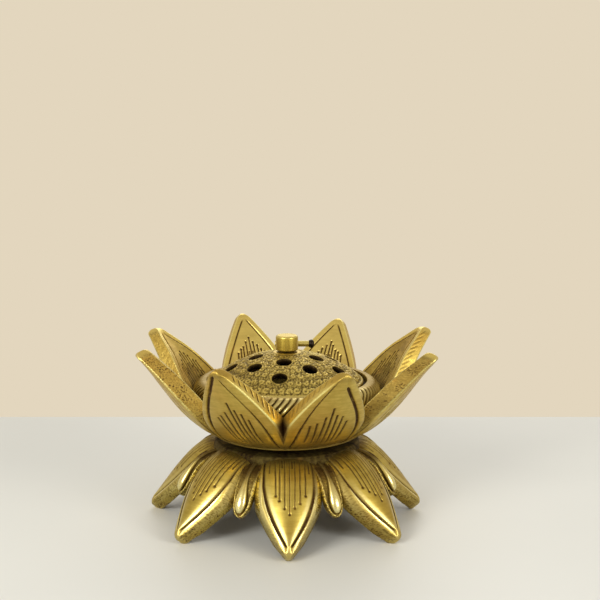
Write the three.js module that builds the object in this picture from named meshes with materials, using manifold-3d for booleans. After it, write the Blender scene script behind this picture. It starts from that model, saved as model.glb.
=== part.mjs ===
// A lotus dhoop burner in cast brass.
// A foot of eight drooping petals carries a bowl of eight rising petals. A fluted cup stands in the bowl and
// holds a loose tray for the dhoop. A pierced dome lid closes the cup and turns on a pin at the back.
// Millimetres, +Z up, front towards -Y. The origin is on the axis, on the table.
import * as THREE from 'three';
import { mergeVertices } from 'three/addons/utils/BufferGeometryUtils.js';
import Module from 'manifold-3d';

// Clearances
const seatGap = 0.3;
const shankGap = 0.3;
const cupToBowlGap = 0.8;

// Petals of both rows
const petalCount = 8;
const footTurn = 0.65;
const bowlTurn = -24.85;

// Each petal is a little off true, in degrees round the axis, in degrees of lean and in length
const footNudges = [0, 2.1, -1.1, 0, 0, 0, -2.2, -2.3];
const footLeans = [0.9, 0.8, -0.7, 0, 0, 0, -0.5, 1.1];
const footStretches = [0.99, 1.01, 0.96, 1, 1, 1, 1, 1];
const bowlNudges = [0, 0.8, 1.3, -3.5, 0.9, 0.6, 5.1, -1.7];
const bowlLeans = [0.3, 0, -2, 1.1, -0.9, 0.5, 0.8, -1];
const bowlStretches = [0.98, 0.955, 1.01, 1.045, 0.995, 1.03, 1, 0.98];

// Foot
const footHeight = 30.9;
const footReach = 57.2;
const footTipRise = 2.4;
const footRootRadius = 28.5;
const footPetalWidth = 21;
const footRootWidth = 18.6;
const footTipWidth = 1.2;
const footWidestShare = 0.49;
const footOutlinePower = 1.27;
const footPetalThickness = 4.6;
const footTipThickness = 5.8;
const footRootAngle = 12.3;
const footTipAngle = 49.1;
const footRootPull = 12;
const footTipPull = 13.1;
const footRootCurl = 25.6;
const footTipCurl = 7.8;
const footCurlPower = 1.9;
const footRootSpread = 3.8;
const footTipSpread = 1;
const footHubThickness = 5.4;
const footHubEdge = 2;
const footRootDrop = 0.25;

// Relief on the upper face of a foot petal: a crowned field, a groove round it and a ridge along the edge.
// The sides are shares of the half width, from the middle line to the edge.
const reliefSides = [0, 0.4, 0.72, 0.82, 0.9, 1];
const reliefRise = [0.6, 0.5, 0.1, -0.15, -0.45, 0.15];
const reliefFadesIn = 0.12;
const reliefFadesOut = 0.9;

// Buds between the foot petals, each on a round-ended leaf that joins the petals beside it
const budShare = 0.94;
const budStemDiameter = 2.6;
const budBulbDiameter = 5.6;
const budStemRise = 1.1;
const budBulbRise = 2.3;
const budRootDepth = 1;
const budSwellsFrom = 0.5;
const budSwellsTo = 0.85;
const leafReach = 46.2;
const leafTipHeight = 12.2;
const leafSink = 2.2;
const leafRootAngle = 6.5;
const leafTipAngle = 58.7;
const leafPull = 11.3;
const leafCurl = 30;
const leafWidth = 10.4;
const leafThickness = 3;
const leafRoundness = 8;
const endShareLost = 0.9;

// Collar between foot and bowl
const collarDiameter = 44;
const collarHeight = 1.7;

// Bowl
const bowlRootRadius = 28;
const bowlReach = 61.1;
const bowlRise = 36.4;
const bowlPetalWidth = 31.5;
const bowlRootWidth = 26.9;
const bowlTipWidth = 3.6;
const bowlWidestShare = 0.38;
const bowlOutlinePower = 1.38;
const bowlPetalThickness = 5;
const bowlRootSpread = 1.1;
const bowlTipSpread = -0.4;
const bowlTipShortfall = 0.03;
const bowlCurlPower = 2.1;
const bowlRootAngle = 22.4;
const bowlTipAngle = 50.1;
const bowlRootPull = 17.2;
const bowlTipPull = 18.5;
const bowlRootCurl = 56;
const bowlTipCurl = 10.4;
const bowlFloorThickness = 3.3;
const bowlRootLift = 0.2;
const bowlFloorOverhang = 2;
const bowlFloorChamfer = 0.6;

// Cup
const cupFootDiameter = 32;
const cupDiameter = 76;
const cupHeight = 18.4;
const cupBellyHeight = 13.2;
const cupWall = 2.2;
const cupFloorThickness = 3;
const cupLipDiameter = 65;
const cupLipLand = 1.1;
const cupFootFlare = 0.5;
const cupFootLift = 0.5;
const cupBellyPull = 0.4;
const cupShoulderPull = 0.55;
const cupLipPull = 0.6;
const cupLowerSteps = 5;
const cupUpperSteps = 4;
const cupWallGrowth = 1.25;
const cupFloorOverhang = 2;
const cupLedgeHeight = 15.5;
const cupLedgeWidth = 3.5;
const cupLedgeThickness = 1.5;
const cupLedgeSlope = 0.4;
const cupLedgeRoot = 1;

// Lid
const lidDiameter = 62;
const lidRimHeight = 2.2;
const lidDomeRise = 11.7;
const lidThickness = 2.2;
const lidBossDiameter = 11;
const lidBossRise = 0.1;
const lidBossEdge = 0.4;
const lidRimShare = 0.75;
const lidRows = 5;

// Vents: three rings of five, each with its distance from the axis and its first angle
const ventDiameter = 6;
const ventsInRing = 5;
const ventRings = [
  { radius: 12.9, start: -5 },
  { radius: 18.7, start: -43 },
  { radius: 23, start: -7 },
];

// Knob
const knobDiameter = 9;
const knobHeight = 6.1;
const knobEdge = 0.6;
const knobScrewDiameter = 3;
const knobScrewReach = 4;
const knobScrewHeadDiameter = 5.4;
const knobScrewHeadHeight = 1.6;
const knobWasherDiameter = 8;
const knobWasherThickness = 0.8;

// Tray
const trayDiameter = 52;
const trayFloorDiameter = 43;
const trayDepth = 5;
const trayWall = 1.2;
const trayRingDiameter = 30;
const trayRingWidth = 2;
const trayRingHeight = 3.2;
const trayLip = 0.8;
const trayFloorStep = 0.7;

// Bolt through cup, bowl, collar and foot
const boltDiameter = 5;
const boltHeadDiameter = 9;
const boltHeadHeight = 2;
const boltEndProud = 1;
const boltPoint = 0.5;
const washerDiameter = 13;
const washerThickness = 1;
const nutWidth = 8;
const nutHeight = 3.2;

// Hinge
const hingeBehindLid = 3.5;
const hingeRise = 7.6;
const pinDiameter = 2.6;
const pinLeftProud = 0.7;
const pinRightReach = 11.1;
const pinHeadDiameter = 3.7;
const pinHeadLength = 2.3;
const pinHeadGrip = 1.4;
const tongueWidth = 4;
const tongueEyeDiameter = 5.8;
const earThickness = 2.2;
const earEyeDiameter = 6.2;
const clevisWidth = 17.6;
const clevisThickness = 1.5;
const padDepth = 5.2;
const padRise = 0.8;
const padDrop = 6;
const screwSpread = 6.7;
const screwDiameter = 2;
const screwHeadDiameter = 3.6;
const screwHeadHeight = 1.2;
const screwLength = 4.2;
const strapFromAxis = 25.8;
const strapLength = 7.2;
const strapWidth = 11.6;
const strapThickness = 1.5;
const rivetSpread = 3.9;
const rivetDiameter = 2;
const rivetHeadDiameter = 3.4;
const rivetHeadHeight = 1.1;

// Heads of bolt, screws and rivets, as shares of their radius and height
const headTop = 0.65;
const headSide = 0.45;
const rivetShoulder = 0.85;
const rivetShoulderHeight = 0.6;
const rivetCrown = 0.45;

// Fineness of the curved surfaces
const roundSteps = 32;
const traySteps = 28;
const knobSteps = 24;
const headSteps = 16;
const screwSteps = 12;
const ventSteps = 10;
const smallSteps = 18;
const cornerSteps = 10;
const petalRows = 9;
const petalColumns = 4;
const leafRows = 6;
const leafColumns = 2;
const budRows = 7;
const budColumns = 3;
const weldDistance = 1e-4;

// Heights, worked out from the table upwards
const hubBottom = footHeight - footHubThickness;
const collarBottom = footHeight + seatGap;
const bowlBottom = collarBottom + collarHeight + seatGap;
const bowlFloorTop = bowlBottom + bowlFloorThickness;
const cupBottom = bowlFloorTop + seatGap;
const cupFloorTop = cupBottom + cupFloorThickness;
const ledgeTop = cupBottom + cupLedgeHeight;
const lipTop = cupBottom + cupHeight;
const lidBottom = ledgeTop + seatGap;
const domeSpring = lidBottom + lidRimHeight;
const domeTop = domeSpring + lidDomeRise;
const knobBottom = domeTop + lidBossRise + seatGap;

// The dome is a part of a sphere
const lidRadius = lidDiameter / 2;
const domeRadius = (lidRadius ** 2 + lidDomeRise ** 2) / (2 * lidDomeRise);
const domeCentre = domeTop - domeRadius;

// Hinge axis
const pinY = lidRadius + hingeBehindLid;
const pinZ = lipTop + hingeRise;

const brass = { color: 0xb8a048, roughness: 0.38, metalness: 1 };
const polishedBrass = { color: 0xc9ae55, roughness: 0.25, metalness: 1 };
const steel = { color: 0x9a9a98, roughness: 0.35, metalness: 1 };
const darkMetal = { color: 0x3a3226, roughness: 0.5, metalness: 1 };

const wasm = await Module();
wasm.setup();

// A closed geometry as a solid. Triangles that shrink to a line where a profile meets the axis are left out.
function solidOf(geometry) {
  const bare = new THREE.BufferGeometry();
  bare.setAttribute('position', geometry.getAttribute('position').clone());
  if (geometry.index) bare.setIndex(geometry.index.clone());
  const merged = mergeVertices(bare, weldDistance);
  const corners = merged.index.array;
  const kept = [];
  for (let i = 0; i < corners.length; i += 3) {
    const [a, b, c] = [corners[i], corners[i + 1], corners[i + 2]];
    if (a !== b && b !== c && c !== a) kept.push(a, b, c);
  }
  const mesh = new wasm.Mesh({
    numProp: 3,
    vertProperties: merged.attributes.position.array,
    triVerts: new Uint32Array(kept),
  });
  return new wasm.Manifold(mesh);
}

// A solid as a geometry again.
function geometryOf(solid) {
  const mesh = solid.getMesh();
  const geometry = new THREE.BufferGeometry();
  geometry.setAttribute('position', new THREE.BufferAttribute(mesh.vertProperties, 3));
  geometry.setIndex(new THREE.BufferAttribute(mesh.triVerts, 1));
  geometry.computeVertexNormals();
  return geometry;
}

function join(geometries) {
  return geometries.map(solidOf).reduce((whole, piece) => whole.add(piece));
}

function named(name, geometry, finish) {
  const mesh = new THREE.Mesh(geometry, new THREE.MeshStandardMaterial(finish));
  mesh.name = name;
  return mesh;
}

// A profile of [radius, height] turned round the vertical axis.
function turned(profile, steps = roundSteps) {
  const points = profile.map(([radius, height]) => new THREE.Vector2(radius, height));
  return new THREE.LatheGeometry(points, steps).rotateX(Math.PI / 2);
}

// The same for a ring: the profile comes back to its first point.
function turnedRing(profile, steps = roundSteps) {
  return turned([...profile, profile[0]], steps);
}

function verticalRod(diameter, bottom, top, steps = smallSteps) {
  const radius = diameter / 2;
  const rod = new THREE.CylinderGeometry(radius, radius, top - bottom, steps);
  return rod.rotateX(Math.PI / 2).translate(0, 0, (top + bottom) / 2);
}

function rodAlongX(diameter, left, right, steps = smallSteps) {
  const radius = diameter / 2;
  const rod = new THREE.CylinderGeometry(radius, radius, right - left, steps);
  return rod.rotateZ(-Math.PI / 2).translate((left + right) / 2, 0, 0);
}

function block(sizeX, sizeY, sizeZ, x, y, z) {
  return new THREE.BoxGeometry(sizeX, sizeY, sizeZ).translate(x, y, z);
}

// A side outline of [y, z] points, given thickness along X.
function sidePlate(shape, left, right) {
  const plate = new THREE.ExtrudeGeometry(
    shape, { depth: right - left, bevelEnabled: false, curveSegments: cornerSteps });
  const alongX = new THREE.Matrix4().makeBasis(
    new THREE.Vector3(0, 1, 0), new THREE.Vector3(0, 0, 1), new THREE.Vector3(1, 0, 0));
  return plate.applyMatrix4(alongX).translate(left, 0, 0);
}

// Unit vectors at a turn from the front, in degrees: outwards, and sideways to the right.
function directions(turn) {
  const angle = THREE.MathUtils.degToRad(turn);
  return {
    outward: new THREE.Vector3(Math.sin(angle), -Math.cos(angle), 0),
    sideways: new THREE.Vector3(Math.cos(angle), Math.sin(angle), 0),
  };
}

// The middle line of a petal in the plane of [radius, height]. It leaves the root at one angle and reaches
// the tip at another; the pulls say how far each end holds its direction. rising is 1 or -1. The lean turns
// the line about its root, in degrees, and the stretch lengthens it.
function middleLine(p, leanDegrees, stretch) {
  const lean = THREE.MathUtils.degToRad(leanDegrees);
  const rootAngle = THREE.MathUtils.degToRad(p.rootAngle);
  const tipAngle = THREE.MathUtils.degToRad(p.tipAngle);
  const root = new THREE.Vector2(p.rootRadius, p.rootHeight);
  const tip = new THREE.Vector2(p.tipRadius, p.tipHeight);
  const rootHandle = new THREE.Vector2(Math.cos(rootAngle), p.rising * Math.sin(rootAngle));
  const tipHandle = new THREE.Vector2(Math.cos(tipAngle), p.rising * Math.sin(tipAngle));
  const handles = [
    root.clone().addScaledVector(rootHandle, p.rootPull),
    tip.clone().addScaledVector(tipHandle, -p.tipPull),
    tip,
  ];
  const placed = handles.map(
    (point) => point.rotateAround(root, lean).sub(root).multiplyScalar(stretch).add(root));
  return new THREE.CubicBezierCurve(root, ...placed);
}

const footLine = {
  rising: -1,
  rootRadius: footRootRadius,
  rootHeight: footHeight - footRootDrop,
  tipRadius: footReach,
  tipHeight: footTipRise,
  rootAngle: footRootAngle,
  tipAngle: footTipAngle,
  rootPull: footRootPull,
  tipPull: footTipPull,
};

const bowlLine = {
  rising: 1,
  rootRadius: bowlRootRadius,
  rootHeight: bowlBottom + bowlRootLift,
  tipRadius: bowlReach,
  tipHeight: bowlBottom + bowlRise,
  rootAngle: bowlRootAngle,
  tipAngle: bowlTipAngle,
  rootPull: bowlRootPull,
  tipPull: bowlTipPull,
};

// Half the width of a petal at a share of its length: a quarter sine out to the widest place, then a power
// curve in to the tip.
function halfWidth(share, root, widest, tip, widestShare, power) {
  if (share < widestShare) {
    return root + (widest - root) * Math.sin((Math.PI / 2) * (share / widestShare));
  }
  const rest = (share - widestShare) / (1 - widestShare);
  return tip + (widest - tip) * (1 - rest ** power);
}

// A petal is a flat block bent to shape: its length follows the middle line, its width is drawn in to the
// outline, and its face is rolled to the curl radius. spread is how far the other face reaches out past
// this one at each side, and shortfall the share of the length by which it ends before it. lineShare is how
// much of the line the petal uses, and lift raises its face off the line.
function petal(p, turn, lean = 0, stretch = 1) {
  const line = middleLine(p.line, lean, stretch);
  const { outward, sideways } = directions(turn);
  const blank = new THREE.BoxGeometry(2, 1, 1, p.columns, p.rows, 1);
  const place = blank.getAttribute('position');
  for (let i = 0; i < place.count; i += 1) {
    const side = p.sideAt(place.getX(i));
    const share = place.getY(i) + 0.5;
    const depthShare = 0.5 - p.line.rising * place.getZ(i);
    const depth = depthShare * p.thickness(share);
    const distance = share * p.lineShare * (1 - p.shortfall * depthShare);
    const spot = line.getPointAt(distance);
    const along = line.getTangentAt(distance);
    const faceNormal = new THREE.Vector2(along.y, -along.x).multiplyScalar(p.line.rising);
    const curl = p.curl(share);
    const roll = (p.halfWidth(share) * side) / curl;
    const across = curl * Math.sin(roll) + p.spread(share) * side * depthShare;
    const below = curl * (1 - Math.cos(roll)) + depth - p.lift(share, side, depthShare);
    const reach = spot.x - faceNormal.x * below;
    const height = spot.y - faceNormal.y * below;
    place.setXYZ(
      i,
      outward.x * reach + sideways.x * across,
      outward.y * reach + sideways.y * across,
      height);
  }
  return blank;
}

// Place across a foot petal of a column of its blank: the columns stand where the relief turns.
function reliefSide(x) {
  return Math.sign(x) * reliefSides[Math.round(Math.abs(x) * (reliefSides.length - 1))];
}

function reliefLift(share, side, depthShare) {
  const fade = Math.min(1, share / reliefFadesIn, (1 - share) / (1 - reliefFadesOut));
  return reliefRise[reliefSides.indexOf(Math.abs(side))] * fade * (1 - depthShare);
}

const footPetal = {
  line: footLine,
  lineShare: 1,
  lift: reliefLift,
  sideAt: reliefSide,
  columns: 2 * (reliefSides.length - 1),
  rows: petalRows,
  thickness: (share) => THREE.MathUtils.lerp(footPetalThickness, footTipThickness, share),
  shortfall: 0,
  spread: (share) => THREE.MathUtils.lerp(footRootSpread, footTipSpread, share),
  halfWidth: (share) =>
    halfWidth(
      share, footRootWidth / 2, footPetalWidth / 2, footTipWidth / 2, footWidestShare, footOutlinePower),
  curl: (share) => THREE.MathUtils.lerp(footRootCurl, footTipCurl, share ** footCurlPower),
};

const bowlPetal = {
  line: bowlLine,
  lineShare: 1,
  lift: () => 0,
  sideAt: (x) => x,
  columns: petalColumns,
  rows: petalRows,
  thickness: () => bowlPetalThickness,
  shortfall: bowlTipShortfall,
  spread: (share) => THREE.MathUtils.lerp(bowlRootSpread, bowlTipSpread, share),
  halfWidth: (share) =>
    halfWidth(
      share, bowlRootWidth / 2, bowlPetalWidth / 2, bowlTipWidth / 2, bowlWidestShare, bowlOutlinePower),
  curl: (share) => THREE.MathUtils.lerp(bowlRootCurl, bowlTipCurl, share ** bowlCurlPower),
};

// The leaf under a bud keeps its width and ends round.
const leafLine = {
  ...footLine,
  rootHeight: footHeight - leafSink,
  tipRadius: leafReach,
  tipHeight: leafTipHeight,
  rootAngle: leafRootAngle,
  tipAngle: leafTipAngle,
  rootPull: leafPull,
  tipPull: leafPull,
};

const budLeaf = {
  line: leafLine,
  lineShare: 1,
  lift: () => 0,
  sideAt: (x) => x,
  columns: leafColumns,
  rows: leafRows,
  thickness: () => leafThickness,
  shortfall: 0,
  spread: () => 0,
  halfWidth: (share) => (leafWidth / 2) * Math.sqrt(1 - endShareLost * share ** leafRoundness),
  curl: () => leafCurl,
};

// A bud: a slim round stem on the leaf, which swells to a bulb near its end.
function budSwell(share) {
  return THREE.MathUtils.smoothstep(share, budSwellsFrom, budSwellsTo);
}

const bud = {
  line: leafLine,
  lineShare: budShare,
  lift: (share) => THREE.MathUtils.lerp(budStemRise, budBulbRise, budSwell(share)),
  sideAt: (x) => x,
  columns: budColumns,
  rows: budRows,
  thickness: () => budBulbRise + budRootDepth,
  shortfall: 0,
  spread: () => 0,
  halfWidth: (share) => {
    const closing = Math.sqrt(1 - endShareLost * THREE.MathUtils.smoothstep(share, budSwellsTo, 1) ** 2);
    return THREE.MathUtils.lerp(budStemDiameter / 2, budBulbDiameter / 2, budSwell(share)) * closing;
  },
  curl: () => budBulbDiameter / 2,
};

const everyPetal = Array.from({ length: petalCount }, (unused, index) => index);
const petalPitch = 360 / petalCount;

function lotusFoot() {
  const turns = everyPetal.map((index) => footTurn + footNudges[index] + index * petalPitch);
  const petals = turns.map(
    (turn, index) => petal(footPetal, turn, footLeans[index], footStretches[index]));
  const budTurns = turns.map((turn, index) => {
    const next = index + 1 < petalCount ? turns[index + 1] : turns[0] + 360;
    return (turn + next) / 2;
  });
  const leaves = budTurns.map((turn) => petal(budLeaf, turn));
  const buds = budTurns.map((turn) => petal(bud, turn));
  const boreRadius = boltDiameter / 2 + shankGap;
  const hub = turnedRing([
    [boreRadius, hubBottom],
    [footRootRadius + footHubEdge, hubBottom],
    [footRootRadius + footHubEdge, footHeight - footHubEdge],
    [footRootRadius + footHubEdge / 4, footHeight],
    [boreRadius, footHeight],
  ]);
  const bulk = footReach * 4;
  const belowTable = block(bulk, bulk, bulk, 0, 0, -bulk / 2);
  const solid = join([hub, ...petals, ...leaves, ...buds]).subtract(solidOf(belowTable));
  return named('lotus_foot', geometryOf(solid), brass);
}

function neckCollar() {
  const bore = boltDiameter / 2 + shankGap;
  const top = collarBottom + collarHeight;
  const outer = collarDiameter / 2;
  const ring = turnedRing([[bore, collarBottom], [outer, collarBottom], [outer, top], [bore, top]]);
  return named('neck_collar', ring, brass);
}

// Outer side of the cup: a foot, a round belly and a shoulder that rolls in to the lip.
function cupOutside(extra) {
  const foot = new THREE.Vector2(cupFootDiameter / 2, cupBottom);
  const belly = new THREE.Vector2(cupDiameter / 2, cupBottom + cupBellyHeight);
  const lip = new THREE.Vector2(cupLipDiameter / 2 + cupLipLand, lipTop);
  const lower = new THREE.CubicBezierCurve(
    foot,
    new THREE.Vector2(foot.x + (belly.x - foot.x) * cupFootFlare, foot.y + cupFootLift),
    new THREE.Vector2(belly.x, belly.y - cupBellyHeight * cupBellyPull),
    belly);
  const upper = new THREE.CubicBezierCurve(
    belly,
    new THREE.Vector2(belly.x, belly.y + (lip.y - belly.y) * cupShoulderPull),
    new THREE.Vector2(lip.x + (belly.x - lip.x) * cupLipPull, lip.y),
    lip);
  const points = [...lower.getPoints(cupLowerSteps), ...upper.getPoints(cupUpperSteps).slice(1)];
  return points.map((point) => [point.x + extra, point.y]);
}

function flutedCup() {
  const bore = boltDiameter / 2 + shankGap;
  const lipRadius = cupLipDiameter / 2;
  const ledgeRadius = lipRadius - cupLedgeWidth;
  const outside = cupOutside(0);
  const wallTop = ledgeTop - cupLedgeThickness - cupLedgeRoot;
  const wallInside = outside
    .filter(([radius, height]) => height > cupFloorTop && height < wallTop)
    .map(([radius, height]) => [radius - cupWall * cupWallGrowth, height])
    .reverse();
  const floorEdge = cupFootDiameter / 2 + cupFloorOverhang;
  const body = turnedRing([
    [bore, cupBottom],
    ...outside,
    [lipRadius, lipTop],
    [lipRadius, ledgeTop],
    [ledgeRadius, ledgeTop],
    [ledgeRadius, ledgeTop - cupLedgeThickness],
    [wallInside[0][0] - cupLedgeRoot, ledgeTop - cupLedgeThickness - cupLedgeSlope],
    ...wallInside,
    [floorEdge, cupFloorTop],
    [bore, cupFloorTop],
  ]);
  const padFront = lipRadius + seatGap;
  const pad = block(
    clevisWidth, padDepth, padRise + padDrop,
    0, padFront + padDepth / 2, lipTop + padRise - (padRise + padDrop) / 2);
  const screwHoles = [-screwSpread, screwSpread].map((x) =>
    verticalRod(screwDiameter + 2 * shankGap, lipTop + padRise - screwLength - seatGap, lipTop + padRise + 1)
      .translate(x, padFront + padDepth / 2, 0));
  let solid = join([body, pad]);
  for (const hole of screwHoles) solid = solid.subtract(solidOf(hole));
  return named('fluted_cup', geometryOf(solid), brass);
}

function lotusBowl() {
  const petals = everyPetal.map((index) => petal(
    bowlPetal, bowlTurn + bowlNudges[index] + index * petalPitch, bowlLeans[index], bowlStretches[index]));
  const boreRadius = boltDiameter / 2 + shankGap;
  const floorDisc = turnedRing([
    [boreRadius, bowlBottom],
    [bowlRootRadius, bowlBottom],
    [bowlRootRadius + bowlFloorOverhang, bowlBottom + bowlFloorChamfer],
    [bowlRootRadius + bowlFloorOverhang, bowlFloorTop],
    [boreRadius, bowlFloorTop],
  ]);
  const cupRoom = turned([
    [0, bowlFloorTop],
    [cupFootDiameter / 2 + cupToBowlGap, bowlFloorTop],
    ...cupOutside(cupToBowlGap),
    [cupDiameter / 2 + cupToBowlGap, lipTop],
    [cupDiameter / 2 + cupToBowlGap, bowlBottom + bowlRise],
    [0, bowlBottom + bowlRise],
  ]);
  const solid = join([floorDisc, ...petals]).subtract(solidOf(cupRoom));
  return named('lotus_bowl', geometryOf(solid), brass);
}

function throughBolt() {
  const seat = cupFloorTop + seatGap;
  const end = hubBottom - seatGap - washerThickness - seatGap - nutHeight - boltEndProud;
  const head = boltHeadDiameter / 2;
  const shank = boltDiameter / 2;
  const bolt = turned([
    [0, end],
    [shank - boltPoint, end],
    [shank, end + boltPoint],
    [shank, seat],
    [head, seat],
    [head, seat + boltHeadHeight * headSide],
    [head * headTop, seat + boltHeadHeight],
    [0, seat + boltHeadHeight],
  ], smallSteps);
  return named('through_bolt', bolt, steel);
}

function boltWasher() {
  const bore = boltDiameter / 2 + shankGap;
  const top = hubBottom - seatGap;
  const ring = turnedRing([
    [bore, top - washerThickness],
    [washerDiameter / 2, top - washerThickness],
    [washerDiameter / 2, top],
    [bore, top],
  ], smallSteps);
  return named('bolt_washer', ring, steel);
}

function clampNut() {
  const top = hubBottom - seatGap - washerThickness - seatGap;
  const cornerRadius = nutWidth / Math.sqrt(3);
  const hexagon = new THREE.Shape();
  for (let corner = 0; corner < 6; corner += 1) {
    const angle = (corner * Math.PI) / 3;
    hexagon[corner ? 'lineTo' : 'moveTo'](cornerRadius * Math.cos(angle), cornerRadius * Math.sin(angle));
  }
  hexagon.closePath();
  const bore = new THREE.Path().absarc(0, 0, boltDiameter / 2 + shankGap, 0, Math.PI * 2, true);
  hexagon.holes.push(bore);
  const nut = new THREE.ExtrudeGeometry(
    hexagon, { depth: nutHeight, bevelEnabled: false, curveSegments: cornerSteps });
  return named('clamp_nut', nut.translate(0, 0, top - nutHeight), steel);
}

function dhoopTray() {
  const foot = cupFloorTop + seatGap;
  const underside = foot + trayRingHeight;
  const floor = underside + trayWall;
  const rim = floor + trayDepth;
  const ring = trayRingDiameter / 2;
  const outer = trayDiameter / 2;
  const flat = trayFloorDiameter / 2;
  const tray = turned([
    [0, underside],
    [ring - trayRingWidth, underside],
    [ring - trayRingWidth, foot],
    [ring, foot],
    [ring, underside],
    [flat, underside],
    [outer, rim - trayLip],
    [outer, rim],
    [outer - trayWall, rim],
    [flat - trayFloorStep, floor],
    [0, floor],
  ], traySteps);
  return named('dhoop_tray', tray, brass);
}

// A place on the dome at a distance from the axis and a turn from the front, and the way out of it there.
function onDome(radius, turn) {
  const rise = Math.sqrt(domeRadius ** 2 - radius ** 2);
  const normal = directions(turn).outward.multiplyScalar(radius / domeRadius);
  normal.z = rise / domeRadius;
  const place = directions(turn).outward.multiplyScalar(radius);
  place.z = domeCentre + rise;
  return { place, normal };
}

// Brings a geometry made round the Z axis to a place on the dome, its Z axis along the normal there.
function standOnDome(geometry, radius, turn) {
  const { place, normal } = onDome(radius, turn);
  const turnUp = new THREE.Quaternion().setFromUnitVectors(new THREE.Vector3(0, 0, 1), normal);
  return geometry.applyQuaternion(turnUp).translate(place.x, place.y, place.z);
}

// The strap lies flat against the back of the dome. This frame has X sideways, Y down the slope, Z out.
const strapSlope = Math.asin(strapFromAxis / domeRadius);
const strapSeat = onDome(strapFromAxis, 180).place;

function onStrap(geometry) {
  return geometry.rotateX(-strapSlope).translate(0, strapSeat.y, strapSeat.z);
}

function strapPoint(along, out) {
  return [
    strapSeat.y + along * Math.cos(strapSlope) + out * Math.sin(strapSlope),
    strapSeat.z - along * Math.sin(strapSlope) + out * Math.cos(strapSlope),
  ];
}

// How far the dome falls away under the strap at a distance from its middle.
function domeFall(distance) {
  return domeRadius - Math.sqrt(domeRadius ** 2 - distance ** 2);
}

function lidDome() {
  const bore = knobScrewDiameter / 2 + shankGap;
  const boss = lidBossDiameter / 2;
  const innerRadius = domeRadius - lidThickness;
  const heightAt = (sphere, radius) => domeCentre + Math.sqrt(sphere ** 2 - radius ** 2);
  const rimInner = lidRadius - lidThickness * lidRimShare;
  const inside = [];
  const outside = [];
  for (let i = 0; i <= lidRows; i += 1) {
    const innerSpot = THREE.MathUtils.lerp(bore, rimInner, i / lidRows);
    const outerSpot = THREE.MathUtils.lerp(lidRadius, boss, i / lidRows);
    inside.push([innerSpot, heightAt(innerRadius, innerSpot)]);
    outside.push([outerSpot, heightAt(domeRadius, outerSpot)]);
  }
  const shell = turnedRing([
    ...inside,
    [rimInner, lidBottom],
    [lidRadius, lidBottom],
    ...outside,
    [boss - lidBossEdge, domeTop + lidBossRise],
    [bore, domeTop + lidBossRise],
  ]);
  let solid = solidOf(shell);
  for (const ring of ventRings) {
    for (let i = 0; i < ventsInRing; i += 1) {
      const drill = verticalRod(ventDiameter, -lidThickness * 2, lidThickness, ventSteps);
      solid = solid.subtract(solidOf(standOnDome(drill, ring.radius, ring.start + (i * 360) / ventsInRing)));
    }
  }
  for (const x of [-rivetSpread, rivetSpread]) {
    const drill = verticalRod(rivetDiameter + 2 * shankGap, -lidThickness * 2, lidThickness, screwSteps);
    solid = solid.subtract(solidOf(onStrap(drill.translate(x, 0, 0))));
  }
  return named('lid_dome', geometryOf(solid), brass);
}

function hingeStrap() {
  const half = strapLength / 2;
  const plate = onStrap(block(strapWidth, strapLength, strapThickness, 0, 0, seatGap + strapThickness / 2));
  const eyeRadius = tongueEyeDiameter / 2;
  const middle = seatGap + strapThickness / 2;
  const arm = new THREE.Shape();
  arm.moveTo(...strapPoint(-half * 0.8, middle));
  arm.lineTo(...strapPoint(half * 0.95, middle));
  arm.lineTo(pinY, pinZ - eyeRadius);
  arm.absarc(pinY, pinZ, eyeRadius, -Math.PI / 2, Math.PI * 0.65, false);
  arm.closePath();
  const tongue = sidePlate(arm, -tongueWidth / 2, tongueWidth / 2);
  let solid = join([plate, tongue]);
  const pinHole = rodAlongX(pinDiameter + 2 * shankGap, -strapWidth, strapWidth).translate(0, pinY, pinZ);
  solid = solid.subtract(solidOf(pinHole));
  for (const x of [-rivetSpread, rivetSpread]) {
    const drill = verticalRod(rivetDiameter + 2 * shankGap, -strapThickness, strapThickness * 2, screwSteps);
    solid = solid.subtract(solidOf(onStrap(drill.translate(x, 0, 0))));
  }
  return named('hinge_strap', geometryOf(solid), polishedBrass);
}

function strapRivet(name, x) {
  const shank = rivetDiameter / 2;
  const head = rivetHeadDiameter / 2;
  const top = seatGap + strapThickness + seatGap;
  const underside = -lidThickness - domeFall(rivetSpread + head) - seatGap;
  const rivet = turned([
    [0, underside - rivetHeadHeight * rivetShoulderHeight],
    [head, underside - rivetHeadHeight * rivetShoulderHeight],
    [head, underside],
    [shank, underside],
    [shank, top],
    [head, top],
    [head * rivetShoulder, top + rivetHeadHeight * rivetShoulderHeight],
    [head * rivetCrown, top + rivetHeadHeight],
    [0, top + rivetHeadHeight],
  ], screwSteps);
  return named(name, onStrap(rivet.translate(x, 0, 0)), brass);
}

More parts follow.
